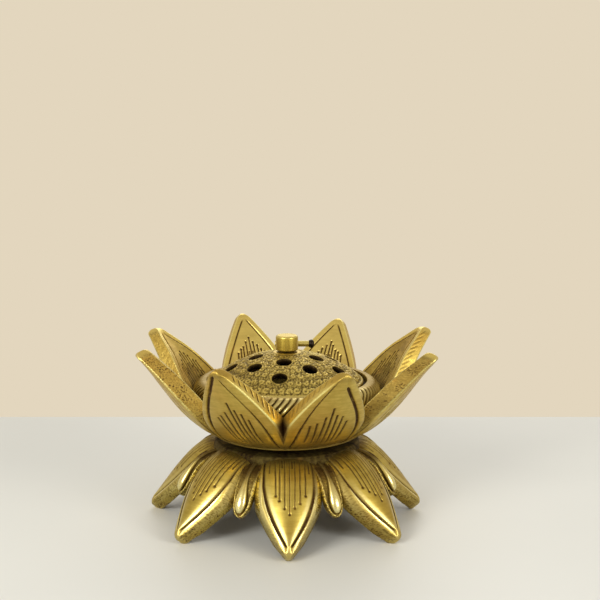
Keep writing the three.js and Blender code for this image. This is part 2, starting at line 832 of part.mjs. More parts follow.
function hingeClevis() {
  const plateBottom = lipTop + padRise + seatGap;
  const plateTop = plateBottom + clevisThickness;
  const front = cupLipDiameter / 2 + seatGap;
  const back = front + padDepth;
  const plate = block(
    clevisWidth, padDepth, clevisThickness, 0, (front + back) / 2, (plateBottom + plateTop) / 2);
  const eyeRadius = earEyeDiameter / 2;
  const ear = new THREE.Shape();
  ear.moveTo(back, plateTop - clevisThickness / 2);
  ear.absarc(pinY, pinZ, eyeRadius, 0, Math.PI, false);
  ear.lineTo(front, plateTop - clevisThickness / 2);
  ear.closePath();
  const inner = tongueWidth / 2 + shankGap;
  const outer = inner + earThickness;
  const ears = [sidePlate(ear, -outer, -inner), sidePlate(ear, inner, outer)];
  let solid = join([plate, ...ears]);
  const pinHole = rodAlongX(pinDiameter + 2 * shankGap, -clevisWidth, clevisWidth).translate(0, pinY, pinZ);
  solid = solid.subtract(solidOf(pinHole));
  for (const x of [-screwSpread, screwSpread]) {
    const drill = verticalRod(screwDiameter + 2 * shankGap, plateBottom - 1, plateTop + 1);
    solid = solid.subtract(solidOf(drill.translate(x, (front + back) / 2, 0)));
  }
  return named('hinge_clevis', geometryOf(solid), polishedBrass);
}

function clevisScrew(name, x) {
  const seat = lipTop + padRise + seatGap + clevisThickness + seatGap;
  const y = cupLipDiameter / 2 + seatGap + padDepth / 2;
  const shank = screwDiameter / 2;
  const head = screwHeadDiameter / 2;
  const end = lipTop + padRise - screwLength;
  const screw = turned([
    [0, end],
    [shank, end],
    [shank, seat],
    [head, seat],
    [head, seat + screwHeadHeight * headSide],
    [head * headTop, seat + screwHeadHeight],
    [0, seat + screwHeadHeight],
  ], screwSteps);
  const mesh = named(name, screw, steel);
  mesh.position.set(x, y, 0);
  return mesh;
}

function hingePin() {
  const left = -(tongueWidth / 2 + shankGap + earThickness + pinLeftProud);
  const pin = named('hinge_pin', rodAlongX(pinDiameter, left, pinRightReach), polishedBrass);
  pin.position.set(0, pinY, pinZ);
  return pin;
}

// The dark head is pressed over the right end of the pin.
function pinBall() {
  const bore = pinDiameter / 2 + shankGap;
  const outer = pinHeadDiameter / 2;
  const left = pinRightReach - pinHeadGrip;
  const right = left + pinHeadLength;
  const head = turned([
    [0, pinRightReach + seatGap],
    [bore, pinRightReach + seatGap],
    [bore, left],
    [outer - 0.2, left],
    [outer, left + pinHeadLength * 0.3],
    [outer, left + pinHeadLength * 0.7],
    [outer * 0.6, right],
    [0, right],
  ], headSteps).rotateY(Math.PI / 2);
  const mesh = named('pin_ball', head, darkMetal);
  mesh.position.set(0, pinY, pinZ);
  return mesh;
}

function lidKnob() {
  const top = knobBottom + knobHeight;
  const outer = knobDiameter / 2;
  const bore = knobScrewDiameter / 2 + shankGap;
  const boreTop = knobBottom + knobScrewReach + seatGap;
  const knob = turned([
    [0, boreTop],
    [bore, boreTop],
    [bore, knobBottom],
    [outer, knobBottom],
    [outer, top - knobEdge],
    [outer - knobEdge * 0.3, top - knobEdge * 0.3],
    [outer - knobEdge, top],
    [0, top],
  ], knobSteps);
  return named('lid_knob', knob, polishedBrass);
}

// Height of the dome's inner face at the edge of the washer
const bossUnderside =
  domeCentre + Math.sqrt((domeRadius - lidThickness) ** 2 - (knobWasherDiameter / 2) ** 2);

function knobWasher() {
  const bore = knobScrewDiameter / 2 + shankGap;
  const top = bossUnderside - seatGap;
  const ring = turnedRing([
    [bore, top - knobWasherThickness],
    [knobWasherDiameter / 2, top - knobWasherThickness],
    [knobWasherDiameter / 2, top],
    [bore, top],
  ], smallSteps);
  return named('knob_washer', ring, steel);
}

function knobScrew() {
  const seat = bossUnderside - seatGap - knobWasherThickness - seatGap;
  const shank = knobScrewDiameter / 2;
  const head = knobScrewHeadDiameter / 2;
  const screw = turned([
    [0, seat - knobScrewHeadHeight],
    [head * headTop, seat - knobScrewHeadHeight],
    [head, seat - knobScrewHeadHeight * headSide],
    [head, seat],
    [shank, seat],
    [shank, knobBottom + knobScrewReach],
    [0, knobBottom + knobScrewReach],
  ], headSteps);
  return named('knob_screw', screw, steel);
}

const burner = new THREE.Group();

const body = new THREE.Group();
body.add(lotusFoot(), neckCollar(), lotusBowl(), flutedCup());
body.add(throughBolt(), boltWasher(), clampNut());
body.add(hingeClevis());
body.add(clevisScrew('clevis_screw_left', -screwSpread));
body.add(clevisScrew('clevis_screw_right', screwSpread));

const lid = new THREE.Group();
lid.add(lidDome(), hingeStrap());
lid.add(strapRivet('strap_rivet_left', -rivetSpread));
lid.add(strapRivet('strap_rivet_right', rivetSpread));
lid.add(lidKnob(), knobWasher(), knobScrew());

const pin = new THREE.Group();
pin.add(hingePin(), pinBall());

burner.add(body, lid, pin, dhoopTray());

export default burner;
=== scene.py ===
from functools import reduce
from math import cos, hypot, pi, radians, sin, sqrt, tau

import bmesh
import bpy
import numpy as np
from mathutils import Matrix, Vector


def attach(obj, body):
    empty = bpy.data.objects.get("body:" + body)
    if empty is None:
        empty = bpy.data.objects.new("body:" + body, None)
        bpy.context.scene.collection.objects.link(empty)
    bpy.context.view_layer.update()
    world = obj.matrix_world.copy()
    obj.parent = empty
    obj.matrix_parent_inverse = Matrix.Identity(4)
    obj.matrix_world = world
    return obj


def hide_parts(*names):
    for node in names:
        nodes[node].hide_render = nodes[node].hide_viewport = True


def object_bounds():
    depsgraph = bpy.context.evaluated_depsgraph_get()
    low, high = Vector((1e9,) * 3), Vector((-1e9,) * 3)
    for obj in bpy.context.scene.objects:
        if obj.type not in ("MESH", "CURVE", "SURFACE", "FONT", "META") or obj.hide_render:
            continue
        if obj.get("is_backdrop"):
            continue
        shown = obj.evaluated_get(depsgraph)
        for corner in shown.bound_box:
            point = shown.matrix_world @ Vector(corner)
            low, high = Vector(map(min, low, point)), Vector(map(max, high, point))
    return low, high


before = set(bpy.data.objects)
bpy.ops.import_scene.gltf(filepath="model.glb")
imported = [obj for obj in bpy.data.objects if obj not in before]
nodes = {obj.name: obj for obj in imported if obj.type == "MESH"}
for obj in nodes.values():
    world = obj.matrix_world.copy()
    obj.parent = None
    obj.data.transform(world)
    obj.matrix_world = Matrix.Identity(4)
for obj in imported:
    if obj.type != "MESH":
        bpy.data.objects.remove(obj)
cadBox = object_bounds()
mm = 0.001

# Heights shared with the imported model, in mm above the table; hingeBack is measured back from the axis
levels = {
    "footTop": 30.9,
    "collarBottom": 31.2,
    "collarTop": 32.9,
    "bowlBottom": 33.2,
    "bowlFloor": 36.5,
    "cupBottom": 36.8,
    "cupFloor": 39.8,
    "ledgeTop": 52.3,
    "lidBottom": 52.6,
    "domeSpring": 54.8,
    "lipTop": 55.2,
    "domeTop": 66.5,
    "knobBottom": 66.9,
    "hingeBack": 34.5,
    "hingeHeight": 62.8,
}
print("frame loaded:", len(nodes), "nodes")


# Materials

class Wire:  # a socket, with the arithmetic that makes Math nodes
    def __init__(self, finish, socket):
        self.finish = finish
        self.socket = socket

    def math(self, operation, *values):
        return self.finish.node("ShaderNodeMath", {"operation": operation}, dict(enumerate(values)))

    def __add__(self, other):
        return self.math("ADD", self, other)

    def __radd__(self, other):
        return self.math("ADD", other, self)

    def __sub__(self, other):
        return self.math("SUBTRACT", self, other)

    def __rsub__(self, other):
        return self.math("SUBTRACT", other, self)

    def __mul__(self, other):
        return self.math("MULTIPLY", self, other)

    def clipped(self):
        return self.finish.node("ShaderNodeClamp", {}, {0: self, 1: 0.0, 2: 1.0})


class Finish:  # a material and the one way nodes are added to it
    def __init__(self, name):
        self.material = bpy.data.materials.new(name)
        self.material.use_nodes = True
        self.tree = self.material.node_tree
        self.shader = self.tree.nodes["Principled BSDF"]

    def node(self, kind, settings, sockets, output=0):
        made = self.tree.nodes.new(kind)
        for key, value in settings.items():
            setattr(made, key, value)
        for key, value in sockets.items():
            if isinstance(value, Wire):
                self.tree.links.new(value.socket, made.inputs[key])
            else:
                made.inputs[key].default_value = value
        return Wire(self, made.outputs[output])

    def blend(self, factor, first, second):
        sockets = {0: factor, 6: first, 7: second}
        return self.node("ShaderNodeMix", {"data_type": "RGBA"}, sockets, 2)

    def noise(self, scale, detail=3.0, roughness=0.55, stretch=None):
        place = self.node("ShaderNodeTexCoord", {}, {}, 3)
        if stretch:
            place = self.node("ShaderNodeMapping", {}, {"Vector": place, "Scale": stretch})
        return self.node("ShaderNodeTexNoise", {},
                         {"Vector": place, "Scale": scale, "Detail": detail, "Roughness": roughness})

    def between(self, value, low, high):  # 0 below low, 1 above high
        return self.node("ShaderNodeMapRange", {}, {0: value, 1: low, 2: high, 3: 0.0, 4: 1.0})

    def attribute(self, name):
        return self.node("ShaderNodeAttribute", {"attribute_name": name}, {}, 2)

    def feed(self, **links):
        for name, wire in links.items():
            self.tree.links.new(wire.socket, self.shader.inputs[name.replace("_", " ")])

    def bumped(self, height, distance, strength):
        self.feed(Normal=self.node("ShaderNodeBump", {},
                                   {"Height": height, "Distance": distance, "Strength": strength}))


def ink(red, green, blue):  # a colour given as 0 to 255, as the linear colour a shader takes
    linear = [c / 255 / 12.92 if c <= 10 else ((c / 255 + 0.055) / 1.055) ** 2.4 for c in (red, green, blue)]
    return (*linear, 1.0)


def brassFinish(name, look):
    made = Finish(name)
    patina = made.attribute("patina").clipped()
    polish = made.attribute("polish").clipped()
    tone = made.between(made.noise(look["toneScale"], 2.0), *look["toneRange"])
    mottle = made.between(made.noise(look["mottleScale"], 4.0, 0.6), *look["mottleRange"])
    rust = made.between(made.noise(look["rustScale"], 3.0, 0.6), *look["rustRange"])
    grain = made.noise(look["grainScale"], 5.0, 0.65, look["stretch"])
    streak = made.between(made.noise(look["streakScale"], 4.0, 0.7, look["streak"]), *look["streakRange"])
    base = made.blend(tone, look["bright"], look["warm"])
    base = made.blend(streak * look["streaks"], base, look["dull"])
    base = made.blend(mottle * look["mottle"], base, look["dull"])
    # the polish layer lightens towards a cream tone: rubbed brass, and painted highlight on ridges, crowns
    # and edges
    base = made.blend((polish * look["shine"]).clipped(), base, look["wornHighlight"])
    # the patina layer darkens towards the dark colour: real patina in hollows, and painted shade where parts
    # lie out of the light
    stainAndShade = (patina * (0.75 + grain * 0.5)).clipped()
    base = made.blend((rust * stainAndShade * look["rust"]).clipped(), base, look["ochre"])
    base = made.blend((stainAndShade * (1.0 - rust * look["rust"] * 0.6)).clipped(), base, look["dark"])
    rough = look["rough"] + (grain - 0.5) * look["roughGrain"] + mottle * 0.06 + stainAndShade * 0.25
    made.feed(Base_Color=base, Roughness=(rough - polish * look["gloss"]).clipped(),
              Metallic=1.0 - stainAndShade * look["crust"])
    made.bumped(grain, 0.00012, look["bump"])
    return made.material


castLook = {
    # each noise has a scale per metre, and a range of it in which it fades in
    "toneScale": 34.0, "toneRange": (0.35, 0.68),
    "mottleScale": 320.0, "mottleRange": (0.38, 0.7),
    "rustScale": 210.0, "rustRange": (0.56, 0.72),
    "grainScale": 900.0, "stretch": (0.5, 0.5, 2.2),
    "streakScale": 700.0, "streakRange": (0.42, 0.66), "streak": (0.12, 0.12, 1.6),
    "bright": ink(190, 173, 90),
    "warm": ink(180, 156, 74),
    "dull": ink(142, 118, 44),
    # cream of rubbed brass, also the colour of painted highlights
    "wornHighlight": ink(236, 226, 164),
    "ochre": ink(150, 92, 30),
    "dark": ink(66, 42, 13),
    "mottle": 0.35,
    "streaks": 0.4,
    "rust": 0.7,
    "shine": 0.8,
    "rough": 0.36,
    "roughGrain": 0.18,
    "gloss": 0.12,
    "crust": 0.15,
    "bump": 0.22,
}
plainGrain = {"stretch": (1.0, 1.0, 1.0), "streaks": 0.0}
finishes = {
    "cast": brassFinish("agedCastBrass", castLook),
    "bowl": brassFinish("paleCastBrass", {**castLook, "bright": ink(212, 188, 98), "warm": ink(202, 166, 80),
                                          "dull": ink(156, 130, 50), "wornHighlight": ink(242, 232, 152)}),
    "lid": brassFinish("punchedBrass", {**castLook, **plainGrain, "bright": ink(214, 194, 102),
                                        "warm": ink(202, 174, 82), "dark": ink(50, 35, 11), "rust": 0.3}),
    "cup": brassFinish("ribbedBrass", {**castLook, **plainGrain, "bright": ink(178, 154, 68),
                                       "warm": ink(158, 130, 50), "dark": ink(44, 28, 10)}),
    # a darker brass for the hub and neck collar, painted in shade under the bowl
    "shaded": brassFinish("paintedShadeBrass", {**castLook, **plainGrain, "dark": ink(44, 29, 8), "rough": 0.5}),
    "turned": brassFinish("turnedBrass", {**castLook, "bright": ink(196, 180, 86), "warm": ink(188, 162, 72),
                                          "rough": 0.35, "mottle": 0.12, "streaks": 0.0, "bump": 0.02,
                                          "roughGrain": 0.06, "stretch": (0.06, 0.06, 1.0)}),
}


def plainMetal(name, light, dark, rough):
    made = Finish(name)
    mottle = made.between(made.noise(420.0, 4.0), 0.35, 0.7)
    grain = made.noise(2200.0, 4.0)
    made.feed(Base_Color=made.blend(mottle, light, dark), Roughness=(rough + (grain - 0.5) * 0.25).clipped(),
              Metallic=1.0 - mottle * 0.15)
    made.bumped(grain, 0.00008, 0.3)
    return made.material


finishes["steel"] = plainMetal("agedSteel", ink(168, 166, 160), ink(118, 110, 98), 0.36)
finishes["dark"] = plainMetal("blackenedMetal", ink(52, 44, 36), ink(30, 24, 20), 0.42)
print("finishes made:", len(finishes))


# Mesh helpers

def readPoints(mesh):
    flat = np.empty(len(mesh.vertices) * 3)
    mesh.vertices.foreach_get("co", flat)
    return flat.reshape(-1, 3)


def writePoints(mesh, points):
    mesh.vertices.foreach_set("co", points.astype(np.float32).ravel())
    mesh.update()


def paint(mesh, **layers):  # each layer is one value for the whole mesh, or one for each point
    for name, values in layers.items():
        values = np.broadcast_to(np.clip(values, 0, 1), len(mesh.vertices))
        mesh.attributes.new(name, "FLOAT", "POINT").data.foreach_set("value", values.astype(np.float32))


def meshFrom(bm, name):
    mesh = bpy.data.meshes.new(name)
    bm.to_mesh(mesh)
    bm.free()
    return mesh


def gridMesh(name, columns, rows):  # a flat grid from -1 to 1, and its points
    bm = bmesh.new()
    bmesh.ops.create_grid(bm, x_segments=columns, y_segments=rows, size=1)
    mesh = meshFrom(bm, name)
    return mesh, readPoints(mesh)


def boxAt(middle, size):  # in metres
    bm = bmesh.new()
    bmesh.ops.create_cube(bm, size=1)
    bmesh.ops.scale(bm, vec=size, verts=bm.verts)
    bmesh.ops.translate(bm, vec=middle, verts=bm.verts)
    return bm


def bevel(bm, edges, width, segments):
    bmesh.ops.bevel(bm, geom=edges, offset=width * mm, offset_type="OFFSET", segments=segments, profile=0.5,
                    affect="EDGES", clamp_overlap=True, material=-1)


def place(mesh, name, body, finish, slot, replaced, sharpAbove=None):
    piece = bpy.data.objects.new(name, mesh)
    bpy.context.scene.collection.objects.link(piece)
    mesh.materials.append(finishes[finish])
    mesh.polygons.foreach_set("use_smooth", np.ones(len(mesh.polygons), bool))
    if sharpAbove:
        mesh.set_sharp_from_angle(angle=radians(sharpAbove))
    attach(piece, body)
    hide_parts(replaced)


def ramp(low, high, value):  # 0 below low, 1 above high, and smooth between them
    share = np.clip((value - low) / (high - low), 0, 1)
    return share * share * (3 - 2 * share)


def fall(low, high, value):  # 1 below low, 0 above high
    return 1 - ramp(low, high, value)


def most(*layers):  # the strongest of some layers at each point
    return reduce(np.maximum, layers)


def between(first, last, share):
    return first + (last - first) * share


def pulse(distance, half, soft):  # 1 within half of the line, falling to 0 over soft on either side
    return fall(half - soft / 2, half + soft / 2, np.abs(distance))


def drift(x, y, size, seed):  # smooth seeded noise over a flat pattern, 0 to 1
    table = np.random.default_rng(seed).random((64, 64))
    across, along = x / size, y / size
    column, row = np.floor(across).astype(int), np.floor(along).astype(int)
    fx, fy = ramp(0, 1, across - column), ramp(0, 1, along - row)
    corner = lambda i, j: table[(column + i) % 64, (row + j) % 64]
    low = corner(0, 0) * (1 - fx) + corner(1, 0) * fx
    high = corner(0, 1) * (1 - fx) + corner(1, 1) * fx
    return low * (1 - fy) + high * fy


def pits(x, y, pitch, seed):  # distance to the nearest of a seeded scatter of points, in pitches
    random = np.random.default_rng(seed)
    offsetX, offsetY = random.random((64, 64)), random.random((64, 64))
    across, along = x / pitch, y / pitch
    column, row = np.floor(across).astype(int), np.floor(along).astype(int)
    nearest = np.full(np.shape(across), 9.0)
    for i in (-1, 0, 1):
        for j in (-1, 0, 1):
            a, b = (column + i) % 64, (row + j) % 64
            gap = np.hypot(column + i + offsetX[a, b] - across, row + j + offsetY[a, b] - along)
            nearest = np.minimum(nearest, gap)
    return nearest


def softened(profile, radius, steps=3, closed=False):  # rounds the corners of a [radius, height] profile
    points = [Vector(p) for p in profile]
    made = []
    for i, corner in enumerate(points):
        if not closed and i in (0, len(points) - 1):
            made.append(corner)
            continue
        before, after = points[i - 1], points[(i + 1) % len(points)]
        back, ahead = before - corner, after - corner
        if back.length < 1e-6 or ahead.length < 1e-6 or back.angle(ahead) > radians(155):
            made.append(corner)
            continue
        cut = min(radius, back.length * 0.45, ahead.length * 0.45)
        start, end = corner + back.normalized() * cut, corner + ahead.normalized() * cut
        for k in range(steps + 1):
            t = k / steps
            made.append(start * (1 - t) ** 2 + corner * 2 * t * (1 - t) + end * t * t)
    return made


def spun(profile, steps, closed=False):  # a profile in mm turned round the upright axis
    bm = bmesh.new()
    ring = [bm.verts.new((r * mm, 0, z * mm)) for r, z in profile]
    pairs = list(zip(ring, ring[1:])) + ([(ring[-1], ring[0])] if closed else [])
    edges = [bm.edges.new(pair) for pair in pairs]
    bmesh.ops.spin(bm, geom=ring + edges, cent=(0, 0, 0), axis=(0, 0, 1), angle=tau, steps=steps,
                   use_merge=True, use_duplicate=False)
    bmesh.ops.remove_doubles(bm, verts=bm.verts, dist=1e-6)
    bmesh.ops.recalc_face_normals(bm, faces=bm.faces)
    return bm


def radiusOf(points):
    return np.hypot(points[:, 0], points[:, 1])


def turnOf(points):  # angle round the axis, from the front
    return np.arctan2(points[:, 0], -points[:, 1])


def turned(name, profile, rounding, steps, ring=False, arcSteps=3, lying=None):
    bm = spun(softened(profile, rounding, arcSteps, ring), steps, ring)
    if lying:
        bmesh.ops.transform(bm, matrix=lying, verts=bm.verts)
    return meshFrom(bm, name)


def bezier(a, b, c, d, steps):  # points on a curve that leaves a towards b and reaches d from c
    t = np.linspace(0, 1, steps + 1)[:, None]
    return (1 - t) ** 3 * a + 3 * (1 - t) ** 2 * t * b + (3 * (1 - t) * t ** 2 * c + t ** 3 * d)


# Petals

def middleLine(p, index, share):  # place, direction and length on a petal's middle line, in radius and height
    line, rise = p["line"], p["rising"]
    root = np.array([line["rootRadius"], line["rootHeight"]])
    tip = np.array([line["tipRadius"], line["tipHeight"]])
    rootAngle, tipAngle = radians(line["rootAngle"]), radians(line["tipAngle"])
    handles = (root + line["rootPull"] * np.array([cos(rootAngle), rise * sin(rootAngle)]),
               tip - line["tipPull"] * np.array([cos(tipAngle), rise * sin(tipAngle)]), tip)
    lean = radians(p["leans"][index])
    leant = np.array([[cos(lean), sin(lean)], [-sin(lean), cos(lean)]])
    stretch = p["stretches"][index] * p["tipGrows"]
    first, second, last = [root + stretch * ((h - root) @ leant) for h in handles]
    points = bezier(root, first, second, last, 599)
    arc = np.concatenate([[0], np.cumsum(np.linalg.norm(np.diff(points, axis=0), axis=1))])
    heading = np.gradient(points, axis=0)
    heading /= np.linalg.norm(heading, axis=1)[:, None]
    travelled = share * arc[-1]
    spot = [np.interp(travelled, arc, points[:, k]) for k in (0, 1)]
    along = [np.interp(travelled, arc, heading[:, k]) for k in (0, 1)]
    return spot, along, arc[-1]


def closingFrom(start, share):  # 1 up to the start of a round end, falling to 0 at its end
    return np.sqrt(np.maximum(0, 1 - np.clip((share - start) / (1 - start), 0, 1) ** 2))


def petalWidth(p, share):  # half the width of a petal: widest part way out, round at the tip
    widest = p["widestShare"]
    lower = p["root"] + (p["widest"] - p["root"]) * np.sin(pi / 2 * np.minimum(share, widest) / widest)
    rest = np.clip((share - widest) / (1 - widest), 0, 1)
    upper = p["tip"] + (p["widest"] - p["tip"]) * (1 - rest ** p["power"])
    return np.where(share < widest, lower, upper) * closingFrom(p["closes"], share)


def besideLine(p, index, share, sideways, below):  # points to the side of a petal's middle line and under it
    spot, along = middleLine(p, index, share)[:2]
    below = p["rising"] * below
    reach, height = spot[0] - along[1] * below, spot[1] + along[0] * below
    a = radians(p["turns"][index])
    return np.stack([sin(a) * reach + cos(a) * sideways, -cos(a) * reach + sin(a) * sideways, height], 1)


def bent(p, index, share, across, depth):  # from the flat petal, in mm, to its place on the burner
    depthShare, curl = depth / p["thickness"](share), p["curl"](share)
    side = across / np.maximum(p["outline"](p, share), 0.6)
    sideways = curl * np.sin(across / curl) + p["spread"](share) * side * depthShare
    below = curl * (1 - np.cos(across / curl)) + depth - p["flares"][index] * ramp(0.72, 1.05, share)
    return besideLine(p, index, share * (1 - p["shortfall"] * depthShare), sideways, below)


def petalColumns(p):  # one row of columns round a petal: outer face, right rim, inner face, left rim
    edge, border = p["edgeRound"], p["border"]
    # each column is: side, distance in from the edge, share of the field, share of the depth, steps in from
    # the faces, and the direction outwards, across and in depth

    def face(deep, borderSteps, fieldSteps):
        out = 1 if deep else -1
        strip = [(-1, e, 0, deep, 0, 0, out) for e in np.linspace(edge, border, borderSteps)]
        strip += [(0, 0, f, deep, 0, 0, out) for f in np.linspace(-1, 1, fieldSteps)[1:-1]]
        strip += [(1, e, 0, deep, 0, 0, out) for e in np.linspace(border, edge, borderSteps)]
        return strip

    def corner(side, deep):
        arc = []
        for angle in np.linspace(0, pi / 2, p["cornerSteps"] + 2)[1:-1]:
            inset, step = edge * (1 - sin(angle)), edge * (1 - cos(angle))
            arc.append((side, inset, 0, deep, step, side * sin(angle), cos(angle) if deep else -cos(angle)))
        return arc

    def rim(side):
        depths = np.linspace(0, 1, p["rimSteps"])[1:-1] ** p["rimCrowding"]
        return [(side, 0, 0, d, 0, side, 0) for d in depths]

    columns = face(0, p["borderSteps"], p["outerSteps"]) + corner(1, 0) + rim(1) + corner(1, 1)[::-1]
    columns += face(1, p["innerBorderSteps"], p["innerSteps"])[::-1]
    columns += corner(-1, 1) + rim(-1)[::-1] + corner(-1, 0)[::-1]
    return np.array(columns, float)


def petalMesh(p, index, relief, name, room=None):
    columns = petalColumns(p)
    count = len(columns)
    mesh, grid = gridMesh(name, count, p["rows"])
    order = np.rint((grid[:, 0] + 1) / 2 * count).astype(int) % count
    left = 1 - (grid[:, 1] + 1) / 2
    share = 1 - 1.05 * left ** 2 / (left + 0.05)   # rows stand close at the tip
    side, inset, field, deep, step, outX, outD = columns[order].T

    width = p["outline"](p, share)
    length = middleLine(p, index, 0.0)[2]
    probe = 0.004
    rise = p["outline"](p, np.minimum(share + probe, 0.999)) - p["outline"](p, np.maximum(share - probe, 0))
    lean = np.maximum(1 / np.sqrt(1 + (rise / (2 * probe * length)) ** 2), 0.45)
    squeeze = np.clip(width * lean / (p["border"] * 1.08), 0, 1)
    across = side * (width - inset * squeeze / lean) + field * (width - p["border"] * squeeze / lean)
    across *= 1 - p["tipNarrows"] * deep * ramp(0.84, 1.0, share)
    bulk = p["bulks"][index] * ramp(0.22, 0.5, share)
    thick = p["thickness"](share) * (1 - p["tipThins"] * ramp(0.62, 1.0, share)) + bulk
    kept = p["edgeRound"] * (np.abs(outX) == 1)   # the rims leave room for the rounded corners
    depth = np.clip(deep * thick, kept, thick - kept)
    depth += np.where(deep > 0.5, -step, step)
    flat = {
        "share": share, "along": share * length, "across": across, "width": width, "length": length,
        "edge": np.maximum(width - np.abs(across), 0) * lean, "depth": depth, "thick": thick,
        "outer": np.clip(-outD, 0, 1), "inner": np.clip(outD, 0, 1), "rim": np.abs(outX), "side": side,
    }
    sunk, patina, polish = relief(p, flat, index)

    # the end is rounded through the thickness too
    left = np.minimum((1 - share) * length, p["tipRound"])
    lost = p["tipRound"] - np.sqrt(p["tipRound"] ** 2 - (p["tipRound"] - left) ** 2)
    depth = thick / 2 + (depth - thick / 2) * (1 - lost / (thick / 2))
    points = bent(p, index, share, across - outX * sunk, depth - outD * sunk - bulk / 8)
    if room:
        points = room(points)
    writePoints(mesh, points * mm)
    paint(mesh, patina=patina, polish=polish)
    return closed(mesh)


def closed(mesh):  # joins the seam of a tube and shuts its ends
    bm = bmesh.new()
    bm.from_mesh(mesh)
    bmesh.ops.remove_doubles(bm, verts=bm.verts, dist=2e-6)
    bmesh.ops.dissolve_degenerate(bm, edges=bm.edges, dist=1e-7)
    bmesh.ops.holes_fill(bm, edges=[e for e in bm.edges if e.is_boundary], sides=0)
    bmesh.ops.recalc_face_normals(bm, faces=bm.faces)
    bm.to_mesh(mesh)
    bm.free()
    return mesh


def curveThrough(points, share):  # a smooth curve near a few (share, offset) points
    shares, offsets = zip(*points)
    fit = np.polyfit(shares, offsets, 4)
    return np.polyval(fit, np.clip(share, min(shares), max(shares)))


def engraved(flat, lines, half, face, dots=0.0):
    # cut lines, each from (share, offset) at its top to (share, offset) at its foot, with a dot at the top
    cut = np.zeros_like(face)
    for topShare, topAcross, footShare, footAcross in lines:
        t = (flat["share"] - footShare) / (topShare - footShare)
        middle = footAcross + (topAcross - footAcross) * t
        taper = half * (0.35 + 0.65 * np.clip(t * 2.5, 0, 1))
        within = ramp(-0.012, 0.012, t) * fall(0.985, 1.005, t)
        cut = np.maximum(cut, pulse(flat["across"] - middle, taper, half * 0.9) * within)
        if dots:
            gap = np.hypot(flat["across"] - topAcross, (flat["share"] - topShare) * flat["length"])
            cut = np.maximum(cut, pulse(gap, dots, 0.3))
    return cut * face


def shaken(lines, random, byShare, byOffset):  # cut lines with their tops moved a little
    return [(a + random.uniform(-byShare, byShare), b + random.uniform(-byOffset, byOffset), c, d)
            for a, b, c, d in lines]


def stippled(x, y, pitch, seed):  # punched spots
    return fall(0.2, 0.5, pits(x, y, pitch, seed))


